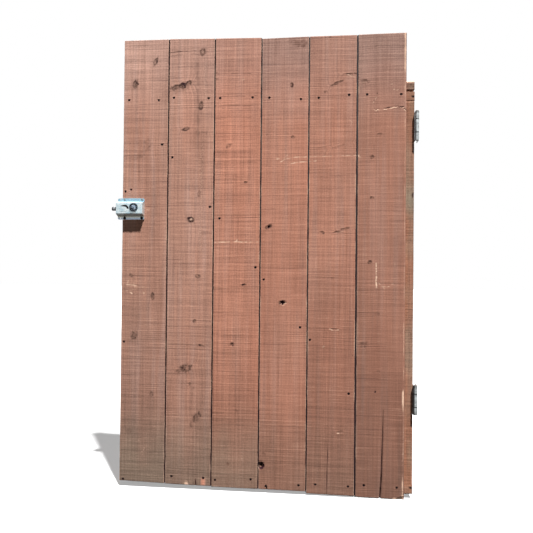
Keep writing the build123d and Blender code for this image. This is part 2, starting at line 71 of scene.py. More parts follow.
lens = bpy.data.cameras.new("view")
lens.sensor_width = SENSOR
lens.lens = SENSOR * FOCAL_PX / PICTURE_PX
camera = put("view", lens)
turn = Matrix((right, above, -ahead)).transposed().to_4x4()
camera.matrix_world = Matrix.Translation(EYE) @ turn
bpy.context.scene.camera = camera
bpy.context.scene.view_settings.view_transform = "Standard"

for name, (power, spread, shadows, stands) in LAMPS.items():
    lamp = bpy.data.lights.new(name, "SUN")
    lamp.energy, lamp.angle, lamp.use_shadow = power, math.radians(spread), shadows
    put(name, lamp).rotation_euler = Vector(stands).to_track_quat("Z", "Y").to_euler()


class Wire:
    """A value, colour or vector between shader nodes. Arithmetic on it adds the nodes:
    Math nodes for values, Vector Math nodes for colours and vectors."""

    def __init__(self, tree, socket=None):
        self.tree, self.socket = tree, socket

    def node(self, kind, settings=None, sockets=None, out=0):
        """Any shader node: its settings first, then the values or wires of its sockets."""
        made = self.tree.nodes.new("ShaderNode" + kind)
        for name, value in (settings or {}).items():
            setattr(made, name, value)
        for name, value in (sockets or {}).items():
            feed(made.inputs[name], value)
        return Wire(self.tree, made.outputs[out])

    def both(self, operation, first, second):
        """Math on two values, or Vector Math where either one is a colour or a vector."""
        pair = (first, second)
        if any(isinstance(w, tuple) or (isinstance(w, Wire) and w.socket.type != "VALUE") for w in pair):
            pair = [w if isinstance(w, (tuple, Wire)) else (w, w, w) for w in pair]
            return self.node("VectorMath", {"operation": operation}, dict(enumerate(pair)))
        return self.node("Math", {"operation": operation}, dict(enumerate(pair)))

    def __add__(self, other):
        return self.both("ADD", self, other)

    def __sub__(self, other):
        return self.both("SUBTRACT", self, other)

    def __rsub__(self, other):
        return self.both("SUBTRACT", other, self)

    def __mul__(self, other):
        return self.both("MULTIPLY", self, other)

    __radd__ = __add__
    __rmul__ = __mul__

    def ease(self, low, high, start=0, end=1):
        """start below low, end above high, and a smooth step between them."""
        sockets = {0: self, 1: low, 2: high, 3: start, 4: end}
        return self.node("MapRange", {"interpolation_type": "SMOOTHSTEP"}, sockets)

    def blend(self, under, over):
        """The colour under where this value is 0, and the colour over where it is 1."""
        sockets = {0: self, 6: under, 7: over}
        return self.node("Mix", {"data_type": "RGBA", "clamp_factor": True}, sockets, out=2)

    def noise(self, stretch, detail=2, roughness=0.5):
        """Noise from 0 to 1 over this place, stretched by the given factors per metre."""
        sockets = {"Vector": self * stretch, "Scale": 1, "Detail": detail, "Roughness": roughness}
        return self.node("TexNoise", {}, sockets)


def feed(socket, value):
    """Puts a wire, a value or a colour (red, green, blue) into a socket."""
    if isinstance(value, Wire):
        value.tree.links.new(value.socket, socket)
    else:
        socket.default_value = (*value, 1) if socket.type == "RGBA" else value


def surface(name):
    """A new material with one Principled shader: the material, the shader and a wire."""
    made = bpy.data.materials.new(name)
    made.use_nodes = True
    return made, made.node_tree.nodes["Principled BSDF"], Wire(made.node_tree)


def wired(shader, **inputs):
    """Puts values or wires into the shader's sockets, whose names have _ for a space."""
    for name, value in inputs.items():
        feed(shader.inputs[name.replace("_", " ")], value)


# Stage: a wide pale floor just under the gate, which keeps its shadow, and pale air round
# it. Both look near white to the eye, and throw little light back on the gate.
FLOOR_HALF, FLOOR_SUNK = 30, 1 * MM
FLOOR_COLOUR, FLOOR_BOUNCE, FLOOR_GLOW = (0.6, 0.6, 0.6), (0.07, 0.07, 0.07), 0.09
AIR_LIGHT, AIR_SEEN, AIR_IN_METAL = 0.05, 1, 0.8
floor_mesh = bpy.data.meshes.new("floor")
corners = [(x * FLOOR_HALF, y * FLOOR_HALF, -FLOOR_SUNK) for x, y in ((-1, -1), (1, -1), (1, 1), (-1, 1))]
floor_mesh.from_pydata(corners, [], [(0, 1, 2, 3)])
floor = put("floor", floor_mesh)
floor_look, floor_shader, wire = surface("pale_floor")
seen = wire.node("LightPath", out=0)
wired(floor_shader, Base_Color=seen.blend(FLOOR_BOUNCE, FLOOR_COLOUR), Roughness=0.9,
      Specular_IOR_Level=0, Emission_Color=(1, 1, 1), Emission_Strength=seen * FLOOR_GLOW)
floor_mesh.materials.append(floor_look)

air = bpy.data.worlds.new("pale_air")
air.use_nodes = True
bpy.context.scene.world = air
wire = Wire(air.node_tree)
camera_ray, mirror_ray = (wire.node("LightPath", out=k) for k in (0, 3))
strength = AIR_LIGHT + (AIR_SEEN - AIR_LIGHT) * camera_ray + (AIR_IN_METAL - AIR_LIGHT) * mirror_ray
backdrop = air.node_tree.nodes["Background"]
feed(backdrop.inputs["Strength"], strength)
feed(backdrop.inputs["Color"], (1, 1, 1))

# Boards: six rough-sawn softwood boards, 17 mm thick, stained red-brown, weathered, and
# nailed side by side to the frame. Each is a closed surface: rows up its height, and in
# each row a loop round its section, crowded and sunk where nails, knots and splits are.
# All sizes from here on are in millimetres. The boards' feet and tops, left and right:
FEET = [(24, 20), (19, 17), (15, 15), (15, 14), (7, 5), (3, 0)]
TOPS = [(1846, 1846), (1847, 1843), (1843, 1840), (1836, 1839), (1839, 1839), (1840, 1842)]
BOARD_TALL = 1845
NAIL_NODES = ["top_rail_nails", "bottom_rail_nails", "brace_nails", "stile_nails"]
NAIL_HEAD_R, NAIL_SUNK = 3.5, 1.5
ROWS, FRONT_COLUMNS, BACK_COLUMNS = 860, 58, 8
# How far the worn arrises lie in from a board's left and right edges, how deep they go, and
# how far a board stands out at its back, which shuts the joint to the next
LEFT_WEAR, LEFT_DEEP = [2, 2, 2, 2, 2, 3], 11
RIGHT_WEAR, RIGHT_DEEP = [2, 2, 2, 2, 3, 4], [11, 11, 11, 11, 11, 4]
SHUT, SHUT_FROM = 0.12, 10
# Steps in from a front edge, up from an end, and back along an edge
ARRIS_STEPS, END_STEPS = np.array([0, 0.5, 1.4]), np.array([0, 0.4, 1.2])
SIDE_STEPS = np.array([1.2, 3, 6, 11, 14])
# Saw marks: depth, and the spacings of the finer, the wider and the even marks of the teeth
SAW_DEEP, SAW_FINE, SAW_WIDE, SAW_FEED = 0.27, 4.6, 12, 8.6
CUP, BOW, BOW_LONG = 0.5, 0.5, 420
# The blackest that a hole or a shaded edge goes on the layer that darkens the wood
BLACK = 1.5
# Each board's stain, from brown (0) to red (1), then how bleached its top and how grey its
# foot is, how much darker it is, all over and at its top, and how calm its saw marks are
STAIN = [0.08, 0.14, 0.84, 0.84, 0.72, 0.62]
GREY_TOP = [0.55, 0.4, 0.35, 0.7, 0.3, 0.7]
GREY_FOOT = [1.05, 0.8, 0.85, 0.4, 0.35, 0.1]
DULL = [0.05, -0.01, -0.02, 0.02, 0.1, 0.18]
DULL_TOP = [-0.1, 0.02, 0.12, 0.24, 0.05, 0.14]
CALM = [0, 0, 0, 0.15, 0.1, 0.3]
# The foot of board 2 keeps a spot of fresh red stain: place, half width and half height
RED_SPOT_BOARD, RED_SPOT = 2, (160.5, 32, 10, 16)
# Long streaks down the boards: across, half width, from, up to, how much darker, speckled
STREAKS = {
    1: [(136, 10, 780, 1190, 0.1, 0), (100, 24, 110, 190, -0.1, 0.62), (100, 16, 1545, 1565, -0.02, 0.65),
        (20, 12, 1250, 1700, -0.05, 0.1), (84, 14, 1050, 1230, 0.05, 0.35), (104, 12, 820, 880, -0.05, 0.6),
        (36, 10, 1230, 1320, 0, 0.5)],
    2: [(124, 14, 1350, 1800, 0.16, 0.35), (140, 22, 930, 1440, 0.05, 0.55), (100, 6, 860, 1330, -0.06, 0.2),
        (60, 12, 1480, 1840, -0.04, 0.2), (150, 14, 1500, 1780, 0.02, 0.55), (109, 3, 360, 480, 0.18, 0),
        (96, 80, 120, 640, -0.06, 0)],
    3: [(60, 26, 300, 900, -0.05, 0.1), (96, 90, 0, 260, -0.07, 0), (150, 16, 500, 980, 0.05, 0),
        (8, 8, 10, 420, 0.08, 0)],
    4: [(30, 14, 820, 1500, 0.05, 0), (120, 18, 200, 900, -0.05, 0), (165, 12, 900, 1700, 0.05, 0)],
    5: [(40, 12, 100, 900, 0.06, 0), (110, 20, 900, 1500, -0.04, 0), (160, 14, 200, 1300, 0.05, 0)],
    6: [(20, 10, 300, 1500, 0.05, 0), (120, 22, 600, 1400, -0.05, 0), (176, 10, 60, 330, 0.08, 0)],
}
STREAK_FADE = 50
# Knots: place from the board's left edge and up, half width and height, lean in degrees,
# how dark, and how deep
KNOTS = {
    1: [(135, 1754, 9, 20, -20, 0.8, 0.3), (50, 1662, 13, 20, -15, 0.8, 0.4), (103, 1409, 22, 30, 0, 0.35, 0.1),
        (80, 1372, 20, 14, 30, 0.3, 0), (57, 621, 16, 22, -10, 0.6, 0.4), (135, 784, 9, 18, 0, 0.7, 0.4),
        (42, 869, 10, 10, 0, 0.5, 0.2), (133, 381, 8, 14, -20, 0.6, 0.3), (40, 228, 14, 12, 0, 0.4, 0.1)],
    2: [(27, 1645, 24, 11, 14, 0.85, 0.4), (58.5, 1650, 15, 16, 0, 0.95, 0.5), (80, 1662, 22, 9, 24, 0.75, 0.4),
        (52.5, 1642, 50, 18, 20, 0.42, 0.1), (140.5, 1789, 15, 18, -20, 0.6, 0.4),
        (135.5, 1566, 12, 20, -10, 0.8, 0.4), (73.5, 1473, 20, 8, 12, 0.7, 0.2),
        (150.5, 1455, 20, 6, -8, 0.35, 0.2), (97.5, 1101, 16, 13, 0, 0.95, -0.6),
        (132.5, 1206, 9, 14, 0, 0.5, 0.3), (155.5, 1045, 16, 9, 10, 0.35, 0.2),
        (82.5, 492, 32, 18, 12, 0.62, 0.5), (62, 482, 26, 8, 14, 0.5, 0.2), (130.5, 868, 12, 10, -20, 0.6, 0.5),
        (118.5, 685, 8, 9, 0, 0.6, 0.5), (146.5, 586, 16, 5, -16, 0.7, 0.6), (101.5, 428, 7, 7, 0, 0.6, 0.5),
        (116.5, 412, 5, 6, 0, 0.5, 0.4), (132.5, 295, 16, 26, -30, 0.6, 0.3), (108.5, 262, 8, 12, 0, 0.4, 0.2)],
    3: [(81, 594, 9, 10, 0, 0.9, 1.2), (126, 836, 12, 5, 10, 0.9, 0.9), (131, 1252, 9, 5, 12, 0.8, 0.8),
        (59, 1401, 15, 10, 35, 0.5, 0.5), (101, 325, 8, 6, 0, 0.7, 0.4), (70, 110, 7, 7, 0, 0.5, 0.3),
        (7, 1676, 10, 5, 0, 0.5, 0.3), (119, 1660, 4, 9, 0, 0.5, 0.3)],
    4: [(92, 766, 15, 11, 15, 0.7, 0.6), (34, 1071, 17, 10, 25, 0.7, 0.6), (123, 1644, 7, 12, 15, 0.8, 0.8),
        (129, 1433, 9, 7, -20, 0.6, 0.5), (160, 1812, 34, 16, 0, 0.55, 0), (120, 1822, 20, 10, 10, 0.4, 0),
        (12, 112, 16, 22, 0, 0.5, 0.3), (20, 155, 10, 9, 0, 0.35, 0.2)],
    5: [(112.2, 1648, 30, 6, 24, 0.65, 0.5), (162.2, 1684, 28, 4, 3, 0.7, 0.6), (67.2, 1613, 9, 6, 0, 0.5, 0.3),
        (56.2, 1049, 12, 6, -20, 0.55, 0.6), (114.2, 1050, 18, 5, 10, 0.7, 0.7),
        (147.2, 1064, 24, 5, 14, 0.5, 0.3), (97.2, 867, 6, 6, 0, 0.5, 0.4), (106.2, 662, 17, 5, 5, 0.35, 0.6),
        (64.2, 591, 6, 5, 0, 0.3, 0.3), (133.2, 256, 17, 6, 8, 0.35, 0.4), (122.2, 1394, 36, 4, 16, 0.4, 0.2),
        (77.2, 1838, 6, 6, 0, 0.5, 0.3)],
    6: [(28.7, 1648, 18, 13, -10, 0.55, 0.6), (58.7, 1350, 10, 9, 0, 0.75, 0.5), (59.7, 1186, 10, 8, 0, 0.6, 0.4),
        (53.7, 932, 9, 9, 0, 0.75, 0.5), (89.7, 1440, 12, 6, 0, 0.45, 0.4), (28.7, 603, 20, 13, 10, 0.45, 0.5),
        (88.7, 498, 12, 8, 0, 0.3, 0.3), (82.7, 726, 12, 10, 0, 0.4, 0.3), (72.7, 1790, 14, 5, 20, 0.3, 0.2)],
}
# Small dark holes and specks: place, radius, how dark, and how deep
SPECKS = {
    1: [(37, 1224.5, 4.2, 1.2, 1.5), (14, 900, 1.5, 0.4, 0.2)],
    3: [(7, 1702, 3, 0.6, 0.5)],
    4: [(22, 1443, 2.5, 0.5, 0.5)],
    5: [(82.2, 1834, 3, 0.5, 0.3), (180.2, 560, 2, 0.5, 0.3)],
    6: [(77.7, 1602, 3, 0.6, 0.4), (64.7, 1575, 2.5, 0.5, 0.3), (78, 419, 3.6, 1, 1)],
}
# Splits: half width, depth, and points down the crack, each across and up
SPLITS = {
    2: [(1.2, 6, 128.5, 46, 129.5, 12)],
    4: [(1.4, 7, 32, 36, 35, 24, 34, 10)],
    5: [(0.7, 5, 86.4, 226, 83.4, 104, 81.4, 0)],
    6: [(1.5, 15, 109.4, 348, 105.7, 191, 102.8, 74, 98.3, 0)],
}
# Scratches that bared the wood: half width, how pale, and points, each across and up
SCRATCHES = {
    1: [(4.2, 1, 41, 799, 45, 795), (4.2, 1, 93, 799, 97, 796), (2.6, 0.8, 22, 832, 50, 830, 75, 824, 98, 822),
        (2.2, 0.5, 20, 806, 60, 812, 52, 842), (3, 0.6, 26, 836, 30, 848), (3.4, 0.8, 108, 1143, 111, 1140),
        (3.5, 0.5, 112, 216, 116, 214), (3.2, 0.45, 80, 192, 84, 190), (3.2, 0.5, 130, 173, 134, 171),
        (3, 0.35, 22, 1012, 30, 990), (3, 0.35, 66, 1460, 78, 1440)],
    2: [(9.5, 1.3, 87, 28, 89, 17), (5, 0.7, 97.5, 1101, 100.5, 1103), (4, 0.4, 82, 492, 94, 495),
        (4, 0.5, 140, 1789, 142, 1790), (3.5, 0.5, 136, 1566, 137, 1570)],
    3: [(2.3, 1, 5, 1008, 61, 1009, 97, 1010, 131, 1009, 183, 1010), (3.4, 0.8, 72, 1010, 98, 1013),
        (2.6, 0.8, 94, 1013, 99, 1020), (3.2, 0.8, 110, 1009, 122, 1006), (1.6, 0.6, 10, 999, 61, 1000),
        (2.4, 0.35, 97, 990, 105, 900), (2.2, 0.3, 80, 980, 66, 930), (2.2, 0.3, 116, 985, 130, 925),
        (2, 0.35, 97, 1020, 107, 1060), (4, 0.45, 104, 1668, 122, 1672)],
    4: [(3, 0.6, 64, 1343, 72, 1360, 84, 1372), (2.6, 0.6, 90, 1344, 110, 1364),
        (2, 0.95, 78, 1332, 102, 1346, 142, 1352, 192, 1353), (2.4, 0.7, 60, 1352, 76, 1346),
        (2.1, 0.95, 122, 1326, 152, 1332, 192, 1334), (3, 0.4, 128, 1436, 130, 1428)],
    5: [(1.7, 0.85, -1.8, 1353, 32.2, 1354, 92.2, 1355, 192.2, 1356), (2.2, 0.9, -1.8, 1334, 30, 1336),
        (2, 0.45, 136, 1545, 142, 1520, 172, 1490), (2, 0.35, 172, 1490, 150, 1440, 138, 1424),
        (4, 0.5, 150, 1682, 186, 1668), (2.4, 0.35, 60, 1660, 100, 1668, 140, 1690),
        (2, 0.4, 106, 1045, 150, 1058, 186, 1070), (3.2, 0.8, 90, 664, 104, 657, 124, 661),
        (4, 0.5, 62, 590, 68, 594), (4, 0.65, 123, 251, 129, 252), (3.8, 0.6, 137, 253, 143, 254),
        (2.2, 0.35, 116, 1770, 118, 1740)],
    6: [(3.2, 1.2, 78, 927, 79, 872, 78, 858, 80, 831), (2, 0.4, 130, 926, 128, 895),
        (2.4, 0.7, 151, 932, 154, 912), (3, 0.55, 88, 850, 104, 834, 130, 836, 148, 850),
        (3, 0.45, 90, 840, 112, 826), (4, 0.9, 4, 1356, 12, 1349), (4, 1.3, 150, 2, 179, 5, 192, 10),
        (1.8, 0.75, 132, 1642, 140, 1632, 137, 1622, 150, 1612, 160, 1616),
        (4.5, 0.5, 4, 1656, 20, 1648, 32, 1650), (3, 0.35, 6, 1636, 24, 1634),
        (1.8, 0.6, 76, 1590, 62, 1566, 58, 1548), (1.6, 0.5, 78, 1586, 92, 1566), (2.4, 0.35, 88, 504, 96, 488)],
}
# Dark lines that the saw left: half width, how dark, and points, each across and up
LINES = {
    1: [(1.6, 0.4, 133, 1724, 176, 1723), (1.6, 0.45, 40, 244, 150, 243), (1.5, 0.25, 10, 1447, 60, 1450)],
    2: [(2.2, 0.85, 5, 1791, 60, 1794, 124, 1794), (2, 0.65, 5, 1778, 60, 1780, 130, 1781),
        (1.7, 0.45, 4, 760, 150, 759), (1.7, 0.55, 4, 590, 178, 588), (1.7, 0.5, 120, 861, 176, 861),
        (1.8, 0.5, 108, 405, 112, 385, 106, 362, 112, 340), (11, 0.36, 118, 1740, 123, 1600, 124, 1450)],
    3: [(2.2, 0.65, 2, 1697, 150, 1696), (2.2, 0.7, 2, 1566, 180, 1565), (2, 0.55, 30, 1554, 185, 1553),
        (2, 0.45, 2, 1640, 120, 1641), (2, 0.5, 2, 1604, 188, 1603), (2, 0.5, 2, 1516, 150, 1517),
        (1.8, 0.45, 2, 1484, 180, 1483), (1.8, 0.4, 20, 1452, 188, 1450), (1.5, 0.2, 70, 1700, 180, 1760)],
    4: [(1.6, 0.25, 4, 1500, 186, 1502), (1.6, 0.25, 30, 1240, 180, 1238), (1.6, 0.3, 8, 420, 150, 421)],
    5: [(1.8, 0.45, 30, 1386, 120, 1405), (1.6, 0.3, 0, 1240, 190, 1239), (1.6, 0.3, 40, 640, 190, 642)],
    6: [(2.2, 0.45, 66, 1400, 67, 1360), (1.6, 0.3, 10, 1200, 190, 1201), (2, 0.25, 126, 1150, 127, 700),
        (2, 0.25, 148, 1150, 149, 700)],
}
# The torn scar high on board 6, where something was prised off, and its broken foot: where
# it starts across, its height, the rise to the right and where that is, and its depth
SCAR = [(66, 1538), (80, 1535), (105, 1538), (128, 1545), (158, 1548), (190, 1536)]
BROKEN_FROM, BROKEN_UP, BROKEN_RISE, BROKEN_RIGHT, BROKEN_DEEP = (160, 168), 5, 8, (170, 189), 3.5
# Board 6's right arris faces the lamp: a painted highlight makes it a little pale all along,
# and it is rubbed paler above, at a spot (its height and half height) and near the foot
ARRIS_HIGHLIGHT, RUBBED_TOP, RUBBED_SPOT, RUBBED_FOOT = 0.16, (1650, 1710), (386, 42), (60, 110)
RUBBED_WIDE = (8.5, 6)
# Board 4 has a knot hole, given by its outline, and pits: place, half width and height,
# depth, how starry, and how pale the lip is
HOLE_BOARD, HOLE = 4, [(9, 102), (14, 104), (17, 110), (16, 118), (13, 122), (9, 120), (7, 113), (8, 107)]
PITS = [(92, 766.5, 9, 8, 8, 0.26, 0.6), (11, 109, 12, 14, 6, 0.05, 0),
        (34, 1071, 5.5, 5.2, 4.5, 0.15, 0.3)]


def eased(value, low, high):
    """0 below low, 1 above high, and a smooth step between them."""
    t = np.clip((value - low) / (high - low), 0, 1)
    return t * t * (3 - 2 * t)


def uneven(t, spacing, seed):
    """Smooth random numbers from -1 to 1 along t: one drawn every spacing, eased between."""
    drawn = np.random.default_rng(seed).uniform(-1, 1, 4096)
    step = np.floor(t / spacing).astype(int)
    part = eased(t / spacing - step, 0, 1)
    return drawn[step % 4096] * (1 - part) + drawn[(step + 1) % 4096] * part


def patchy(x, z, size_x, size_z, seed):
    """The same over a surface: random numbers on a net of size_x by size_z, eased between."""
    drawn = np.random.default_rng(seed).uniform(-1, 1, (256, 256))
    i, j = np.floor(x / size_x).astype(int), np.floor(z / size_z).astype(int)
    a, b = eased(x / size_x - i, 0, 1), eased(z / size_z - j, 0, 1)
    low, high = (drawn[i % 256, k % 256] * (1 - a) + drawn[(i + 1) % 256, k % 256] * a for k in (j, j + 1))
    return low * (1 - b) + high * b


def within(value, low, high):
    """1 below low, 0 above high, and a smooth step between them."""
    return 1 - eased(value, low, high)


def bell(value):
    """1 at 0, falling away on both sides as e to the power of minus the square."""
    return np.exp(-value ** 2)


def off_path(x, z, points):
    """Distance from each place to a line through the points, and how far along it, 0 to 1."""
    points = np.reshape(points, (-1, 2))
    best, share = np.full(x.shape, np.inf), np.zeros(x.shape)
    for k, ((x0, z0), (x1, z1)) in enumerate(zip(points[:-1], points[1:])):
        run = (x1 - x0) ** 2 + (z1 - z0) ** 2
        t = np.clip(((x - x0) * (x1 - x0) + (z - z0) * (z1 - z0)) / run, 0, 1)
        off = np.hypot(x - x0 - t * (x1 - x0), z - z0 - t * (z1 - z0))
        share = np.where(off < best, (k + t) / (len(points) - 1), share)
        best = np.minimum(best, off)
    return best, share


def crowded(low, high, count, places, reach, pull):
    """count numbers from low to high, pull times denser within reach of the places."""
    fine = np.linspace(low, high, 4000)
    density = np.ones_like(fine)
    for place in places:
        density += pull * bell((fine - place) / reach)
    total = np.concatenate([[0], np.cumsum((density[1:] + density[:-1]) / 2)])
    return np.interp(np.linspace(0, total[-1], count), total, fine)


def head_centres(node):
    """Centres (x, z) in millimetres of the flat heads in a node of nails or screws: the
    foremost points, each averaged with those less than two head radii away."""
    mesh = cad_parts[node].data
    points = np.empty(len(mesh.vertices) * 3)
    mesh.vertices.foreach_get("co", points)
    points = points.reshape(-1, 3) / MM
    front = np.unique(points[points[:, 1] < points[:, 1].min() + 0.1][:, [0, 2]].round(2), axis=0)
    near = np.hypot(*(front[:, None] - front[None]).transpose(2, 0, 1)) < 2.2 * NAIL_HEAD_R
    return np.unique((near @ front / near.sum(1, keepdims=True)).round(1), axis=0)


def closed_tube(name, places, layers, looks=(), flat=False):
    """A piece from a grid of places, rows by a loop of columns: one quad between each four
    neighbours, turned to face outwards, a flat cap on both ends, and one named float layer
    for each entry. A second look goes on the caps. All faces are flat where flat says so."""
    rows, columns = places.shape[:2]
    index = np.arange(rows * columns).reshape(rows, columns)
    around = np.roll(index, -1, axis=1)
    quads = np.stack([index[:-1], around[:-1], around[1:], index[1:]], -1).reshape(-1, 4)
    middle = places.reshape(-1, 3).mean(0)
    a, b, c = ((places.reshape(-1, 3) - middle)[quads[:, k]] for k in range(3))
    outwards = np.einsum("ij,ij->i", a, np.cross(b, c)).sum() >= 0
    if not outwards:
        quads = quads[:, ::-1]
    ends = [index[0][::-1], index[-1]] if outwards else [index[0], index[-1][::-1]]
    mesh = bpy.data.meshes.new(name)
    mesh.from_pydata(places.reshape(-1, 3) * MM, [], quads.tolist() + [end.tolist() for end in ends])
    for layer, values in layers.items():
        attribute = mesh.attributes.new(layer, "FLOAT", "POINT")
        values = np.broadcast_to(values, (rows, columns)).astype(np.float32)
        attribute.data.foreach_set("value", values.ravel())
    for look in looks:
        mesh.materials.append(look)
    mesh.polygons.foreach_set("use_smooth", [not flat] * len(quads) + [False, False])
    if len(looks) > 1:
        mesh.polygons.foreach_set("material_index", [0] * len(quads) + [1, 1])
    mesh.validate()
    return put(name, mesh)


WOOD_LAYERS = "grain along stain damp weather bleach speckle calm knot bared saw".split()


def wood_look(name, brown, red, dark, bare, grey, pale, rough):
    """Stained sawn wood. Its layers say where it is: grain (across the fibres), along (up
    them), and how red, damp, grey, bleached, speckled, calm, knotty, bared and sawn it is.
    The knot layer also carries painted shade, in the joints and round the nail seats."""
    look, shader, wire = surface(name)
    layer = {key: wire.node("Attribute", {"attribute_name": key}, out=2) for key in WOOD_LAYERS}
    place = wire.node("CombineXYZ", sockets={0: layer["grain"], 1: layer["along"]})
    fibre = place.noise((420, 6, 0), detail=4, roughness=0.65)
    bands = place.noise((125, 2.2, 0), detail=3, roughness=0.6)
    teeth = place.noise((15, 330, 0), detail=3, roughness=0.7)
    strokes = place.noise((3.5, 135, 0), detail=2, roughness=0.5)
    grit = place.noise((170, 170, 0), detail=2)
    patches = place.noise((7, 3, 0), detail=3)
    tone = (fibre - 0.5) * 0.55 + (bands - 0.5) + (teeth - 0.5) * 0.7 + (patches - 0.5) * 0.5
    tone = tone + (strokes - 0.5) * 0.9 + (grit - 0.5) * 0.7 - layer["saw"] * 0.13
    dry, banded = 1 - layer["damp"], 0.65 + bands * 0.7

    # The stain, with a pale bloom, dark saw cuts, weather from the foot and bleach above
    stain = layer["stain"].blend(brown, red)
    bloom = place.noise((38, 1.6, 7), detail=3).ease(0.42, 0.72) * (0.5 - layer["stain"] * 0.35)
    colour = bloom.blend(stain, pale) * (1 + tone * (0.88 - layer["calm"])) * dry
    cuts = place.noise((3, 150, 0), detail=1).ease(0.66, 0.74) * 0.34
    colour = cuts.blend(colour, dark)
    colour = (layer["weather"] * banded).blend(colour, grey * (1 + tone * 1.05))
    colour = (layer["bleach"] * banded).blend(colour, pale * ((1 + tone * 0.9) * dry))

    # Wood bared by speckles and wear, then the knots and the painted shade, then the scratches
    speckle = (layer["speckle"] * (grit * 0.7 + fibre * 0.3)).ease(0.24, 0.5, 0, 0.7)
    worn = (fibre + teeth + strokes * 0.7).ease(1.45, 1.75) * 0.2
    colour = worn.blend(speckle.blend(colour, bare), bare)
    ragged = layer["knot"] * (0.25 + grit * 0.8 + fibre * 0.7)
    colour = ragged.ease(0.04, 0.85).blend(colour, stain * 0.26)
    colour = ragged.ease(0.72, 1.1).blend(colour, dark)
    scratched = (layer["bared"] * (0.3 + teeth * 0.9 + grit * 0.8)).ease(0.12, 1.05)
    height = fibre * 0.35 + teeth * 0.5 + bands * 0.2
    bump = wire.node("Bump", sockets={"Strength": 0.55, "Distance": 0.0009, "Height": height})
    wired(shader, Base_Color=scratched.blend(colour, bare), Roughness=rough + (fibre - 0.5) * 0.15,
          Normal=bump, Specular_IOR_Level=0.25)
    return look


def end_look(name, pale, dark):
    """Sawn end grain: arcs of year rings about a heart below the board, greyed by weather."""
    look, shader, wire = surface(name)
    place = wire.node("TexCoord", out=3)
    rings = wire.node("TexWave", {"wave_type": "RINGS"},
                      {"Vector": place, "Scale": 60, "Distortion": 3, "Detail": 2}, out=1)
    spots = place.noise((300, 300, 300), detail=3)
    colour = (rings * 0.6 + spots * 0.4).blend(dark, pale)
    bump = wire.node("Bump", sockets={"Strength": 0.5, "Distance": 0.001, "Height": spots})
    wired(shader, Base_Color=colour, Roughness=0.92, Normal=bump, Specular_IOR_Level=0.2)
    return look


board_look = wood_look(
    "stained_board", brown=(0.425, 0.222, 0.158), red=(0.478, 0.203, 0.13), dark=(0.026, 0.005, 0.008),
    bare=(0.8, 0.53, 0.38), grey=(0.195, 0.138, 0.1), pale=(0.48, 0.3, 0.245), rough=0.86)
board_end = end_look("board_end_grain", (0.3, 0.17, 0.11), (0.1, 0.055, 0.038))
all_heads = np.vstack([head_centres(node) for node in NAIL_NODES])


def knot_marks(x, z, knots):
    """Over the knots: how dark, how deep, and how far the grain is pushed aside. d is the
    distance in knot sizes, leaned by the knot's own angle; a ring stands round a paler heart."""
    dark, deep, aside = np.zeros(x.shape), np.zeros(x.shape), np.zeros(x.shape)
    for n, (kx, kz, half_w, half_h, lean, black, hollow) in enumerate(knots):
        c, s = math.cos(math.radians(lean)), math.sin(math.radians(lean))
        dx, dz = (x - kx) * c + (z - kz) * s, (z - kz) * c - (x - kx) * s
        plain = np.hypot(dx / half_w, dz / half_h)
        d = plain + 0.24 * patchy(x, z, 6, 6, 50 + n) + 0.14 * patchy(x, z, 3, 9, 70 + n)
        ring = bell((d - 0.62) / 0.3) * (0.75 + 0.55 * patchy(x, z, 7, 9, 90 + n))
        halo = bell(plain / 1.25) * (0.8 + 0.5 * patchy(x, z, 4, 12, 110 + n))
        dark = np.maximum(dark, 1.15 * black * (0.85 * ring + 0.5 * bell(d / 0.2) + 0.42 * halo))
        deep += hollow * (bell(d / 0.6) - 0.5 * bell((d - 1.1) / 0.3))
        push = 0.6 * half_w * (hollow != 0) * bell(d / 1.6)
        aside += push * np.sign(x - kx) * (1 - bell((x - kx) / half_w))
    return np.clip(dark, 0, BLACK), deep, aside


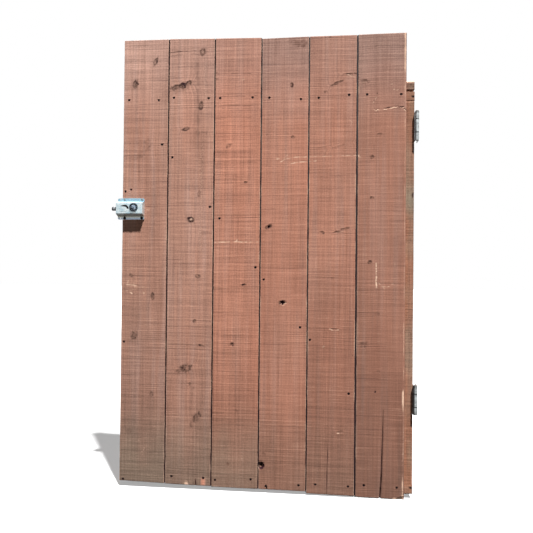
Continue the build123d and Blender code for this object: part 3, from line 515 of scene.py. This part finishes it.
def face_marks(number, x, z, heads):
    """Each mark on a board's face but its knots, as how deep, how dark and how bared of
    stain it leaves the wood. Most fall away like a bell from a point or a line."""
    # Nail seats: sunk round each head, where painted shade darkens the wood
    seat = np.full(x.shape, np.inf)
    for hx, hz in heads:
        seat = np.minimum(seat, np.hypot(x - hx, z - hz))
    sunk = NAIL_SUNK * within(seat, NAIL_HEAD_R - 0.4, NAIL_HEAD_R + 1.3)
    yield (sunk - 0.25 * bell((seat - 6.5) / 1.6), BLACK * within(seat, NAIL_HEAD_R + 0.2, NAIL_HEAD_R + 2.3),
           0.16 * bell((seat - 6.8) / 2.2))
    for sx, sz, radius, black, hollow in SPECKS.get(number, []):
        off = np.hypot(x - sx, z - sz)
        yield (hollow * within(off, 0.5 * radius, 1.2 * radius),
               1.4 * black * within(off, 0.6 * radius, 1.3 * radius), 0)
    for half, deepest, *points in SPLITS.get(number, []):
        off, share = off_path(x, z, points)
        yield (deepest * bell(off / (half * (0.35 + 0.9 * share))) * eased(share, -0.15, 0.8),
               BLACK * bell(off / (half * 1.5)) * eased(share, -0.35, 0.4), 0)
    broken = 0.65 + 0.5 * patchy(x, z, 9, 5, 80 + number)
    for half, pale, *points in SCRATCHES[number]:
        scratch = bell(off_path(x, z, points)[0] / half) * pale * broken
        yield 0.35 * scratch, 0, scratch
    wandering = z + 1.2 * uneven(x, 17, 95)
    left_of_it = np.clip(0.75 + 0.7 * patchy(x, z, 12, 12, 97), 0, 1)
    for half, black, *points in LINES[number]:
        yield 0, black * bell(off_path(x, wandering, points)[0] / half) * left_of_it, 0
    if number == HOLE_BOARD:
        for px, pz, half_w, half_h, deepest, starry, lip in PITS:
            across, up = (x - px) / half_w, (z - pz) / half_h
            arms = 1 - 0.7 * starry + starry * np.cos(5 * np.arctan2(up, across) + 0.6)
            d = np.hypot(across, up) / arms + 0.1 * patchy(x, z, 5, 5, 33)
            yield (deepest * within(d, 0.62, 1.25), BLACK * within(d, 0.95, 1.35),
                   lip * bell((d - 1.6) / 0.3) * (z < pz))
    if number == len(FEET):
        jagged = z + 3.2 * uneven(x, 9, 3) + 1.6 * uneven(x, 3.5, 4)
        off = off_path(x, jagged, SCAR)[0]
        under = jagged < np.interp(x, *np.transpose(SCAR))
        torn = bell(off / 2.8) * np.clip(0.9 + 0.8 * uneven(x, 10, 6), 0.15, 1)
        shade = bell((off - 2.6) / 2.4) * (~under) * (0.6 + 0.7 * uneven(x, 13, 5))
        yield torn * np.where(under, -0.7, 1.3), shade, 1.1 * torn * under
        edge = BROKEN_UP + BROKEN_RISE * eased(x, *BROKEN_RIGHT) + 2 * uneven(x, 4, 9)
        spall = eased(x, *BROKEN_FROM) * within(z, edge - 1.5, edge)
        yield BROKEN_DEEP * spall, 0, 1.3 * spall


def make_board(number):
    """One board. Front places are (across, front + depth, up), where depth adds the worn
    arris, cup, bow, saw marks, knots and the other marks. The layers follow the wood."""
    low, high = (np.array(corner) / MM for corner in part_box(f"board_{number}"))
    width, depth, (left, front) = high[0] - low[0], high[1] - low[1], low[:2]
    last = number == len(FEET)
    foot, top, knots = FEET[number - 1], TOPS[number - 1], KNOTS[number]
    left_wear, right_wear, right_deep = (each[number - 1] for each in (LEFT_WEAR, RIGHT_WEAR, RIGHT_DEEP))
    right_shut = 0 if last else SHUT

    # The grid: x runs over the front, down the right edge, over the back and up the left
    heads = all_heads[(all_heads[:, 0] > left) & (all_heads[:, 0] < high[0])] - [left, 0]
    columns = list(heads[:, 0]) * 2 + [knot[0] for knot in knots]
    columns += [across for _, _, *points in SPLITS.get(number, []) for across in points[::2]]
    columns += [speck[0] for speck in SPECKS.get(number, [])]
    count = FRONT_COLUMNS - 2 * len(ARRIS_STEPS)
    inner = crowded(left_wear + 2.5, width - right_wear - 2.5, count, columns, 7, 0.8)
    across = np.concatenate([left_wear + ARRIS_STEPS, inner, width - right_wear - ARRIS_STEPS[::-1]])
    levels = [z / BOARD_TALL for z in list(heads[:, 1]) + [knot[1] for knot in knots]]
    rows = crowded(0, 1, ROWS, levels, 0.006, 1.2)
    ends, first = END_STEPS / BOARD_TALL, 2.2 / BOARD_TALL
    rows = np.concatenate([ends, np.clip(rows[1:-1], first, 1 - first), 1 - ends[::-1]])
    back_x = np.linspace(width + right_shut, -SHUT, BACK_COLUMNS)
    proud = SIDE_STEPS > SHUT_FROM
    right_x = width - right_wear * np.clip(1 - SIDE_STEPS / right_deep, 0, 1) + right_shut * proud
    left_x = left_wear * np.clip(1 - SIDE_STEPS / LEFT_DEEP, 0, 1) - SHUT * proud
    x = np.concatenate([across, right_x, back_x, left_x[::-1]])
    y = np.concatenate([0 * across, SIDE_STEPS, np.full(BACK_COLUMNS, depth), SIDE_STEPS[::-1]])
    is_front, is_back = np.arange(len(x)) < len(across), y == depth
    x, y = (np.broadcast_to(each, (len(rows), len(each))).copy() for each in (x, y))
    z = foot[0] + (foot[1] - foot[0]) * x / width
    z = z + rows[:, None] * (top[0] + (top[1] - top[0]) * x / width - z)

    # The saw's marks run across and wander a little; a few stand out
    wavy = z + 3 * uneven(x, 90, 7 * number) + 0.02 * x * (number % 3 - 1)
    patch = 0.55 + 0.6 * patchy(x, z, 70, 160, number)
    saw = patch * (uneven(wavy, SAW_FINE, number) * 0.5 + uneven(wavy, SAW_WIDE, 20 + number) * 0.35)
    saw += 0.45 * patch * np.sin(wavy * 2 * np.pi / SAW_FEED + 2.5 * uneven(z, 70, 25 + number))
    saw += 0.7 * eased(uneven(wavy, 13, 30 + number), 0.6, 0.95)
    dark, deep, aside = knot_marks(x, z, knots)
    relief = SAW_DEEP * saw + deep + 0.1 * uneven(x + 0.4 * aside, 7, 40 + number)
    relief += BOW * uneven(z, BOW_LONG, 60 + number) + CUP * (2 * x / width - 1) ** 2 + 0.3
    bared = np.zeros(x.shape)
    for deeper, black, pale in face_marks(number, x, z, heads):
        relief += deeper
        dark, bared = np.maximum(dark, black), np.maximum(bared, pale)

    # The arrises are rounded and rubbed pale in places, board 6's right one with a painted
    # highlight too, and painted shade darkens the wood inside the joints
    edge = np.minimum(x - left_wear, width - right_wear - x) / 1.5
    edge = edge * (1 + 0.25 * uneven(z, 60, 90 + number))
    arris = 1 - np.sqrt(1 - (1 - np.clip(edge, 0, 1)) ** 2 + 1e-9)
    pale_edge = 0.34 * within(edge, 0.7, 2.4) * (1 + 0.6 * uneven(z, 45, number)) * (y < 1)
    if last:
        spot = np.exp(-((z - RUBBED_SPOT[0]) / RUBBED_SPOT[1]) ** 6)
        highlight_and_rub = ARRIS_HIGHLIGHT + 0.95 * eased(z, *RUBBED_TOP) + 0.8 * spot + 0.6 * within(z, *RUBBED_FOOT)
        highlight_and_rub = highlight_and_rub * (0.9 + 0.4 * uneven(z, 30, 17))
        on_arris = eased(x, *(width - off for off in RUBBED_WIDE)) * (y < 8)
        pale_edge = np.maximum(pale_edge, highlight_and_rub * on_arris)
    bared = np.maximum(bared, pale_edge)
    outer = (x > width / 2) if last else (x < width / 2) * (number == 1)
    in_joint = np.maximum(eased(y, 0, 2.2), within(edge * 1.5, 0.2, 1)) * (1 - 0.9 * outer)
    dark = np.maximum(dark, BLACK * in_joint * (y < depth - 1))

    # Everything moves the places: back from the front, in at the ends, and at the arrises
    pinch = within(np.minimum(rows, 1 - rows)[:, None] * BOARD_TALL, 0, 1.3)
    y = y + np.where(is_front, relief + arris + pinch, np.where(is_back, -0.25 * saw - pinch, 0))
    leaning = 0.35 * uneven(z, 75, 70 + number) + 0.12 * uneven(z, 11, 75 + number)
    nearest = np.minimum(np.abs(x - left_wear), np.abs(width - right_wear - x))
    inwards = np.where(x < width / 2, 1, -1) * np.abs(leaning) * np.exp(-nearest / 4) * (y < 5)
    places = np.stack([left + x + inwards, front + y, np.maximum(z, 0)], -1)

    # What the stain's layers say: darker at the foot and in streaks, grey and bleached ends
    upper = eased(z + 60 * patchy(x, z, 60, 90, 8), 1430, 1800)
    damp = DULL[number - 1] + 0.36 * (1 - np.clip(z / 1300, 0, 1)) ** 1.3 + DULL_TOP[number - 1] * upper
    damp += 0.05 * patchy(x, z, 80, 200, 30 + number)
    speckle = np.zeros(x.shape)
    for sx, half, bottom, top_end, darker, speckled in STREAKS[number]:
        streak = bell((x + 4 * uneven(z, 120, int(sx)) - sx) / half)
        streak *= eased(z, bottom - STREAK_FADE, bottom + STREAK_FADE)
        streak *= within(z, top_end - STREAK_FADE, top_end + STREAK_FADE)
        damp += darker * streak
        speckle = np.maximum(speckle, speckled * streak)
    grey = GREY_FOOT[number - 1] * within(z + 70 * patchy(x, z, 50, 110, 9), 20, 470)
    spot_x, spot_z, half_w, half_h = RED_SPOT
    fresh = np.exp(-((x - spot_x) / half_w) ** 4 - ((z - spot_z) / half_h) ** 4) * (number == RED_SPOT_BOARD)
    layers = {
        "grain": (x + aside + 700 * number + np.where(is_back, 350, y)) * MM,
        "along": (z + 3100 * number) * MM,
        "stain": STAIN[number - 1] + 0.2 * patchy(x, z, 90, 300, 10 + number) + fresh,
        "damp": damp - 0.6 * fresh,
        "weather": np.clip(0.85 * grey * (1 - fresh), 0, 1),
        "bleach": GREY_TOP[number - 1] * upper,
        "speckle": speckle * is_front,
        "calm": CALM[number - 1],
        # knot also carries painted shade, in the joints and round the nail seats
        "knot": np.clip(dark, 0, BLACK) * (y < depth - 1),
        "bared": np.clip(bared, 0, 1) * is_front,
        "saw": saw,
    }
    return closed_tube(f"plank_{number}", places, layers, looks=(board_look, board_end))


planks = [make_board(number) for number in range(1, len(FEET) + 1)]
for number, plank in enumerate(planks, start=1):
    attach(plank, "gate")
    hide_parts(f"board_{number}")

# Knot hole: the knot low in board 4 has fallen out of its front. Its outline is cut out of
# the finished board, as a prism that is longer than the board is thick.
hole_left, hole_front = (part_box(f"board_{HOLE_BOARD}")[0][axis] / MM for axis in (0, 1))


def hole_prism(name, stages, **more):
    """A prism of the hole's outline between two depths behind the board's front."""
    places = [[(hole_left + x, hole_front + stage, z) for x, z in HOLE] for stage in stages]
    return closed_tube(name, np.array(places, float), {}, **more)


cutter = hole_prism("knot_hole", (-10, 30))
through = planks[HOLE_BOARD - 1].modifiers.new("knot_hole", "BOOLEAN")
through.object = cutter
through.operation = "DIFFERENCE"
bpy.context.view_layer.objects.active = planks[HOLE_BOARD - 1]
bpy.ops.object.modifier_apply(modifier="knot_hole")
bpy.data.objects.remove(cutter)

# Painted shade in the knot hole: a near-black piece that fills the hole but for its front,
# so that it looks black in there.
filler_look, filler_shader, wire = surface("painted_hole_shade")
filler_mottle = wire.node("TexCoord", out=3).noise((400, 400, 400), detail=3)
wired(filler_shader, Base_Color=filler_mottle.blend((0.004, 0.003, 0.003), (0.022, 0.013, 0.01)),
      Roughness=0.95, Specular_IOR_Level=0.1)
hole_filler = hole_prism("knot_hole_shade_fill", (9, 15.5), looks=(filler_look,), flat=True)
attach(hole_filler, "gate")

# Frame: two stiles, two rails and a brace of planed 2x4 on edge, stained the same, halved
# into each other and nailed behind the boards. Each is a closed surface of rows along its
# length, whose near and far faces step in where it is halved.
TIMBER_WIDE, TIMBER_DEEP, TIMBER_ROUND, HALVED, PLAY = 38, 89, 2.2, 44.5, 0.15
LAPS = [(17, 55), (1575, 1621)]
BEVEL, FRAME_LEFT, FRAME_RIGHT = 7, -583.5, 604.5
BRACE_TOP, BRACE_FOOT, BRACE_SLANT = 1575, 130, 1.64
# Knots, as on the boards: on the hinge stile's front strip, and on every hidden timber
STRIP_KNOTS = [(34, 1198, 4, 14, 0, 0.8, 0.3), (36, 1150, 4, 20, 0, 0.5, 0.2), (30, 640, 5, 18, 0, 0.35, 0.2),
               (24, 1640, 6, 5, 0, 0.6, 0.3), (33, 1632, 3, 5, 0, 0.7, 0.3), (33, 470, 4, 10, 0, 0.4, 0.2),
               (31, 900, 4, 9, 0, 0.4, 0.2), (35, 300, 3, 12, 0, 0.3, 0.2)]
OTHER_KNOTS = [(19, 300, 9, 12, 0, 0.6, 0.4), (22, 880, 11, 12, 0, 0.5, 0.4)]
# Green bands on the strip: height, half height, how green
GREEN_BANDS = [(1181, 60, 0.4), (650, 45, 0.12)]

timber_look = wood_look(
    "stained_timber", brown=(0.27, 0.13, 0.085), red=(0.33, 0.14, 0.078), dark=(0.04, 0.022, 0.018),
    bare=(0.7, 0.48, 0.36), grey=(0.28, 0.25, 0.18), pale=(0.4, 0.24, 0.18), rough=0.84)
timber_end = end_look("timber_end_grain", (0.42, 0.27, 0.19), (0.16, 0.09, 0.06))


def rounded(off, radius):
    """How far a rounded arris lies inside its face, at a distance off from the edge."""
    return radius - np.sqrt(np.maximum(radius ** 2 - np.clip(radius - off, 0, None) ** 2, 0))


def section(width, near, far, count):
    """Loops round a timber whose faces lie at 0 and width, and at near and far in each row.
    Gives places across and back, each column's face, and its place round the loop."""
    r = TIMBER_ROUND
    share = np.linspace(0, 1, count + 2)[1:-1]
    fixed = np.concatenate([[0.293 * r, 0.6 * r, r], r * (1 - 2 * share), [-r, -0.6 * r]])
    part = np.concatenate([[0, 0, 0], share, [1, 1]])
    across, back, faces, round_loop, start = [], [], [], [], 0
    for face in range(4):
        length = (far - near)[:, None] if face % 2 else np.full((len(near), 1), width)
        run = fixed + part * length
        inside = rounded(np.minimum(run, length - run), r)
        a, b = [(run, near[:, None] + inside), (width - inside, near[:, None] + run),
                (width - run, far[:, None] - inside), (inside, far[:, None] - run)][face]
        across.append(a + 0 * b)
        back.append(b + 0 * a)
        faces.append(np.full(len(fixed), face))
        round_loop.append(run + start)
        start += width if face % 2 == 0 else TIMBER_DEEP
    return np.hstack(across), np.hstack(back), np.concatenate(faces), np.hstack(round_loop)


def stretches(low, high, spacing, steps):
    """Places from low to high about spacing apart, with a pair close round each step, and
    close together at both ends."""
    places = list(np.linspace(low + 3, high - 3, int((high - low) / spacing)))
    places += [low, low + 0.4, low + 1.2, high - 1.2, high - 0.4, high]
    places = [p for p in places if all(abs(p - step) > 1 for step in steps)]
    for step in steps:
        places += [step - 0.9, step - PLAY, step + PLAY, step + 0.9]
    return np.array(sorted(places))


def make_timber(name, node, seed):
    """A stile (upright), a rail (level) or the brace (its middle line falls to the right)."""
    low, high = (np.array(corner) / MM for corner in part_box(node))
    upright, slanted, width = node.endswith("stile"), node == "brace", TIMBER_WIDE
    if upright:
        rows = stretches(low[2], high[2], 5, [z for lap in LAPS for z in lap if z > low[2] + 1])
        near, far = np.zeros(len(rows)), np.full(len(rows), TIMBER_DEEP)
        for bottom, top in LAPS:
            near[(rows > bottom - 1) & (rows < top)] = HALVED
        near = np.maximum(near, BEVEL - (high[2] - rows))
    elif slanted:
        rows = stretches(low[0], high[0], 6, [])
        near, far = np.zeros(len(rows)), np.full(len(rows), TIMBER_DEEP)
        middle = BRACE_TOP + (BRACE_FOOT - BRACE_TOP) * (rows - low[0]) / (high[0] - low[0])
        width = 2 * (high[2] - low[2] - (BRACE_TOP - BRACE_FOOT))
    else:
        inner = (FRAME_LEFT + TIMBER_WIDE, FRAME_RIGHT - TIMBER_WIDE)
        rows = stretches(low[0], high[0], 6, inner)
        near = np.zeros(len(rows))
        far = np.where((rows > inner[0]) & (rows < inner[1]), TIMBER_DEEP, HALVED)
    a, b, face, loop = section(width, near, far, 7)
    s = np.broadcast_to(rows[:, None], a.shape)
    rough = 0.22 * patchy(loop, s, 5, 60, seed) + 0.18 * patchy(loop, s, 60, 9, seed + 1)
    knots = STRIP_KNOTS if node == "hinge_stile" else OTHER_KNOTS
    dark, deep, _ = knot_marks(np.where(face == 0, a, loop + 500), s, knots)
    sunk = rough + 0.25 + np.clip(deep, -0.2, 1)
    bared = np.zeros(a.shape)
    if upright:
        bevelled = eased(rows, high[2] - BEVEL - 0.5, high[2] - BEVEL + 0.5)[:, None] * (face == 0)
        bared, dark = 0.95 * bevelled, dark * (1 - bevelled)
    elif not slanted:
        # Nail seats in the laps: sunk, where painted shade darkens the wood round each head
        for hx, hz in head_centres("lap_nails"):
            off = np.hypot(s - hx, a - (hz - low[2])) + 99 * (face > 0)
            sunk = sunk + 1.4 * within(off, NAIL_HEAD_R - 0.4, NAIL_HEAD_R + 1.2)
            dark = np.maximum(dark, BLACK * within(off, NAIL_HEAD_R + 0.5, NAIL_HEAD_R + 3))
    a = a + sunk * np.select([face == 1, face == 3], [-1, 1], 0)
    b = b + sunk * np.select([face == 0, face == 2], [1, -1], 0)
    y, slant = low[1] + np.clip(b, 0.02, TIMBER_DEEP - 0.02), BRACE_SLANT if slanted else 1
    z = np.minimum(middle[:, None] - width / 2 + a, BRACE_TOP - PLAY) if slanted else low[2] + a
    places = np.stack([low[0] + a, y, s] if upright else [s, y, z], -1)
    green = np.clip(0.05 + 0.3 * patchy(loop, s, 30, 90, seed + 4), 0, 0.3)
    if node == "hinge_stile":
        green = green + sum(how * bell((s - height) / half) for height, half, how in GREEN_BANDS)
    layers = {
        "grain": (loop + 900 * seed) * MM / slant,
        "along": s * slant * MM + 3 * seed,
        "stain": 0.55 + 0.3 * patchy(loop, s, 40, 260, seed + 2),
        "damp": 0.04 + 0.08 * patchy(loop, s, 60, 150, seed + 3) + 0.22 * eased(s, 1617, 1623) * upright,
        "weather": green * (face == 0),
        "bleach": 0.3 * eased(s, 1560, 1600) * (face == 0) * upright,
        "speckle": 0,
        "calm": -0.25,
        "knot": np.clip(dark, 0, 1),
        "bared": bared,
        "saw": rough,
    }
    piece = closed_tube(name, places, layers, looks=(timber_look, timber_end))
    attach(piece, "gate")
    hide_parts(node)


TIMBERS = {"stile_at_lock": "latch_stile", "stile_at_hinges": "hinge_stile", "rail_above": "top_rail",
           "rail_below": "bottom_rail", "brace_timber": "brace"}
for seed, (name, node) in enumerate(TIMBERS.items(), start=11):
    make_timber(name, node, seed)


# Nails: round-headed steel, bright once, now dark with rust, driven through the boards into
# the frame. The solids stay and only take a finish.
def dress(look, *nodes):
    """Gives the solids of these nodes one material."""
    for node in nodes:
        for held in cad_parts[node].material_slots:
            held.material = look


def metal_look(name, dull, bright, stained, rough, grain=60, metal=1, stains=(0.66, 0.8),
               shade=None, tint=None):
    """Metal with cloudy dull and bright patches, fine scratches and stained spots. shade takes
    the place and gives how dark it is there, with painted shade and grime; tint takes the place
    and the colour and gives the colour back, with painted reflections in it."""
    look, shader, wire = surface(name)
    place = wire.node("TexCoord", out=3)
    cloud = place.noise((grain,) * 3, detail=4, roughness=0.6)
    speck = place.noise((grain * 9,) * 3, detail=2)
    spots = place.noise((grain * 1.7,) * 3, detail=5, roughness=0.7).ease(*stains)
    colour = spots.blend((cloud * 0.8 + speck * 0.2).ease(0.34, 0.66).blend(dull, bright), stained)
    if tint:
        colour = tint(place, colour)
    if shade:
        colour = shade(place).blend(colour, (0.015, 0.014, 0.016))
    bump = wire.node("Bump", sockets={"Strength": 0.25, "Distance": 0.0003, "Height": speck})
    wired(shader, Base_Color=colour, Metallic=metal - spots * (0.8 * metal), Normal=bump,
          Roughness=rough + (cloud - 0.5) * 0.3 + spots * 0.3, Specular_IOR_Level=0.5 if metal > 0.5 else 0.1)
    return look


rusted = metal_look("rusted_nail", (0.003, 0.002, 0.003), (0.007, 0.005, 0.005), (0.015, 0.008, 0.006),
                    0.8, grain=200, metal=0)
dress(rusted, *NAIL_NODES, "lap_nails")

# Rim lock: zinc-plated pressed case and backplate, a cast cylinder with its plug, a steel
# bolt, and pan-head screws, two plated and two black, which hold it to the boards. The
# solids stay, and painted shade, painted reflections and darker bands follow their shapes.
LOCK_X, LOCK_Z, LOCK_FACE = -544.5, 1144.5, -65
CYLINDER, SLOT = (-526, 1147.5), (-563, 1141.5)
BOLT_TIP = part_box("bolt")[0][0] / MM


def rise(value, low, high, most=1):
    """0 below low and most above high, both in millimetres, for a value in metres."""
    return value.ease(low * MM, high * MM, 0, most)


def fall(value, low, high, most=1, least=0):
    """most below low and least above high, both in millimetres, for a value in metres."""
    return value.ease(low * MM, high * MM, most, least)


def split(place):
    """The x, y and z of a place."""
    parts = place.node("SeparateXYZ", sockets={0: place}).socket.node.outputs
    return [Wire(place.tree, part) for part in parts]


def across_from(place, centre):
    """From the line along Y through the centre (x, z) to the place: x and z alone."""
    return place.both("MULTIPLY", place - (centre[0] * MM, 0, centre[1] * MM), (1, 0, 1))


def length(vector):
    """The length of a vector."""
    return vector.node("VectorMath", {"operation": "LENGTH"}, {0: vector}, out=1)


def rim_painted_shade(place):
    """Painted shade on the cylinder: in the step of its face and over its rim."""
    off = length(across_from(place, CYLINDER))
    return rise(off, 10.4, 11.6) * 0.97 * fall(off, 14.6, 15.6, 1, 0.6)


def case_painted_shade(place):
    """Painted shade on the case: round the cylinder's window and along the curved slot, which
    runs round the pad's middle from above it to its right. It is also darker round the black
    screws' heads."""
    from_slot = across_from(place, SLOT)
    off, (x, _, z) = length(from_slot), split(from_slot)
    corner = rise(x, -4, 1) * rise(z, -1, 2)
    curve = rise(off, 8.8, 9.8) * fall(off, 16.8, 17.8) * corner
    tail = rise(z, 9.4, 10.4) * fall(z, 15.4, 16.8) * fall(x, -2, 1) * rise(x, -20, -5)
    darkness = fall(length(across_from(place, CYLINDER)), 17, 19.5, 0.95) + curve + tail
    for screw in head_centres("lock_screws_black"):
        darkness = darkness + fall(length(across_from(place, screw)), 4.4, 6.4, 0.95)
    return darkness


def case_painted_reflections(place, colour):
    """Painted reflections on the plating: sky blue on the case's upper flange, the olive of the
    ground on its underside, and a duller blue on the lower flange."""
    z = split(place)[2]
    colour = rise(z, LOCK_Z + 24, LOCK_Z + 30, 0.75).blend(colour, (0.26, 0.5, 0.64))
    colour = fall(z, LOCK_Z - 27, LOCK_Z - 23, 0.7).blend(colour, (0.62, 0.56, 0.42))
    return fall(z, LOCK_Z - 38, LOCK_Z - 34, 0.8).blend(colour, (0.46, 0.56, 0.72))


def plug_painted_reflection(place):
    """Painted reflection on the plug: dark over its left half beside the keyway, but for a
    slanting band left bright as a painted glint.
    """
    x, _, z = split(across_from(place, CYLINDER))
    slant = x + z
    return (fall(slant, -2, 1.5) - rise(slant, -6.6, -5.8) * fall(slant, -4.6, -3.8)) * 0.97


def bolt_bands(place):
    """Darker rings round the bolt's nose and where it comes out of the case."""
    x = split(place)[0] - BOLT_TIP * MM
    return rise(x, 1.5, 2.5) * fall(x, 5, 6.5) * 0.85 + rise(x, 13, 16) * fall(x, 24, 30) * 0.9


LOCK_LOOKS = {
    "lock_case": metal_look("zinc_plate", (0.5, 0.68, 0.76), (0.92, 1, 1), (0.34, 0.28, 0.2), 0.34, metal=0.65,
                            shade=case_painted_shade, tint=case_painted_reflections),
    "lock_backplate": metal_look("zinc_flat", (0.36, 0.5, 0.6), (0.6, 0.74, 0.82), (0.3, 0.25, 0.18), 0.36,
                                 metal=0.7),
    "lock_screws_zinc": metal_look("zinc_screw", (0.16, 0.2, 0.2), (0.34, 0.4, 0.4), (0.12, 0.1, 0.07), 0.45,
                                   grain=200, metal=0.7),
    "lock_screws_black": metal_look("black_screw", (0.004, 0.004, 0.005), (0.01, 0.01, 0.012),
                                    (0.02, 0.015, 0.012), 0.6, grain=300, metal=0),
    "cylinder_body": metal_look("cylinder_casting", (0.26, 0.33, 0.42), (0.46, 0.56, 0.66), (0.22, 0.18, 0.15),
                                0.3, grain=150, shade=rim_painted_shade),
    "cylinder_plug": metal_look("plug_plate", (0.22, 0.32, 0.46), (0.66, 0.78, 0.88), (0.03, 0.03, 0.04), 0.24,
                                grain=130, metal=0.9, stains=(0.62, 0.7), shade=plug_painted_reflection),
    "bolt": metal_look("bolt_steel", (0.3, 0.31, 0.33), (0.55, 0.56, 0.58), (0.2, 0.11, 0.07), 0.35,
                       grain=120, shade=bolt_bands),
}
for node, look in LOCK_LOOKS.items():
    dress(look, node)
dress(LOCK_LOOKS["bolt"], "cam")

# Snib's slide: a plate inside the case, right behind its face, near black as painted shade,
# so it shows dark through the curved slot. Left and right, below and above, depths.
SLIDE_X, SLIDE_Z, SLIDE_Y = (-46, -1), (-19, 19), (1.6, 2.4)
slide_shade_look, slide_shade_shader, wire = surface("slide_painted_shade")
wired(slide_shade_shader, Base_Color=(0.01, 0.009, 0.01), Roughness=0.7)
(x0, x1), (z0, z1) = SLIDE_X, SLIDE_Z
corners = [(x0, z0), (x1, z0), (x1, z1), (x0, z1)]
places = [[(LOCK_X + x, LOCK_FACE + y, LOCK_Z + z) for x, z in corners] for y in SLIDE_Y]
slide = closed_tube("snib_slide", np.array(places), {}, looks=(slide_shade_look,), flat=True)
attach(slide, "gate")

# Butt hinges: folded galvanised leaves with rolled knuckles, plated pins and screws with
# rust on the heads. One leaf of each is screwed to the stile, the other to the post.
HINGES = ("upper_hinge", "lower_hinge")
# STILE_SIDE: across, where painted shade covers the barrels next to the stile; MIDDLE_HALF: half the middle
# knuckle's height
STILE_SIDE, MIDDLE_HALF = (606.5, 610), 25.7


def knuckle_shade_and_grime(place):
    """Painted shade in the gaps above and below each middle knuckle and where the barrels lie
    next to the stile, and grime about the barrels' tops."""
    x, _, z = split(place)
    darkness = fall(x, *STILE_SIDE, 0.92)
    for hinge in HINGES:
        low, high = (corner[2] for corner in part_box(f"{hinge}_gate_leaf"))
        above_middle, above_top = z - (low + high) / 2, z - high
        off = above_middle.both("ABSOLUTE", above_middle, 0)
        gap = rise(off, MIDDLE_HALF - 2.2, MIDDLE_HALF - 0.6) * fall(off, MIDDLE_HALF + 1.4, MIDDLE_HALF + 3)
        top = rise(above_top, -12, -2) * fall(above_top, 1, 2)
        darkness = darkness + gap * 0.95 + top * 0.5
    return darkness


galvanised = metal_look("galvanised", (0.34, 0.36, 0.36), (0.66, 0.7, 0.7), (0.26, 0.15, 0.09),
                        0.5, grain=90, metal=0.6, stains=(0.6, 0.72), shade=knuckle_shade_and_grime)
pin_steel = metal_look("pin_steel", (0.2, 0.19, 0.18), (0.34, 0.33, 0.32), (0.24, 0.12, 0.06),
                       0.45, grain=160, metal=0.8, stains=(0.5, 0.62))
for hinge in HINGES:
    dress(galvanised, f"{hinge}_gate_leaf", f"{hinge}_post_leaf")
    dress(pin_steel, f"{hinge}_pin", f"{hinge}_screws")
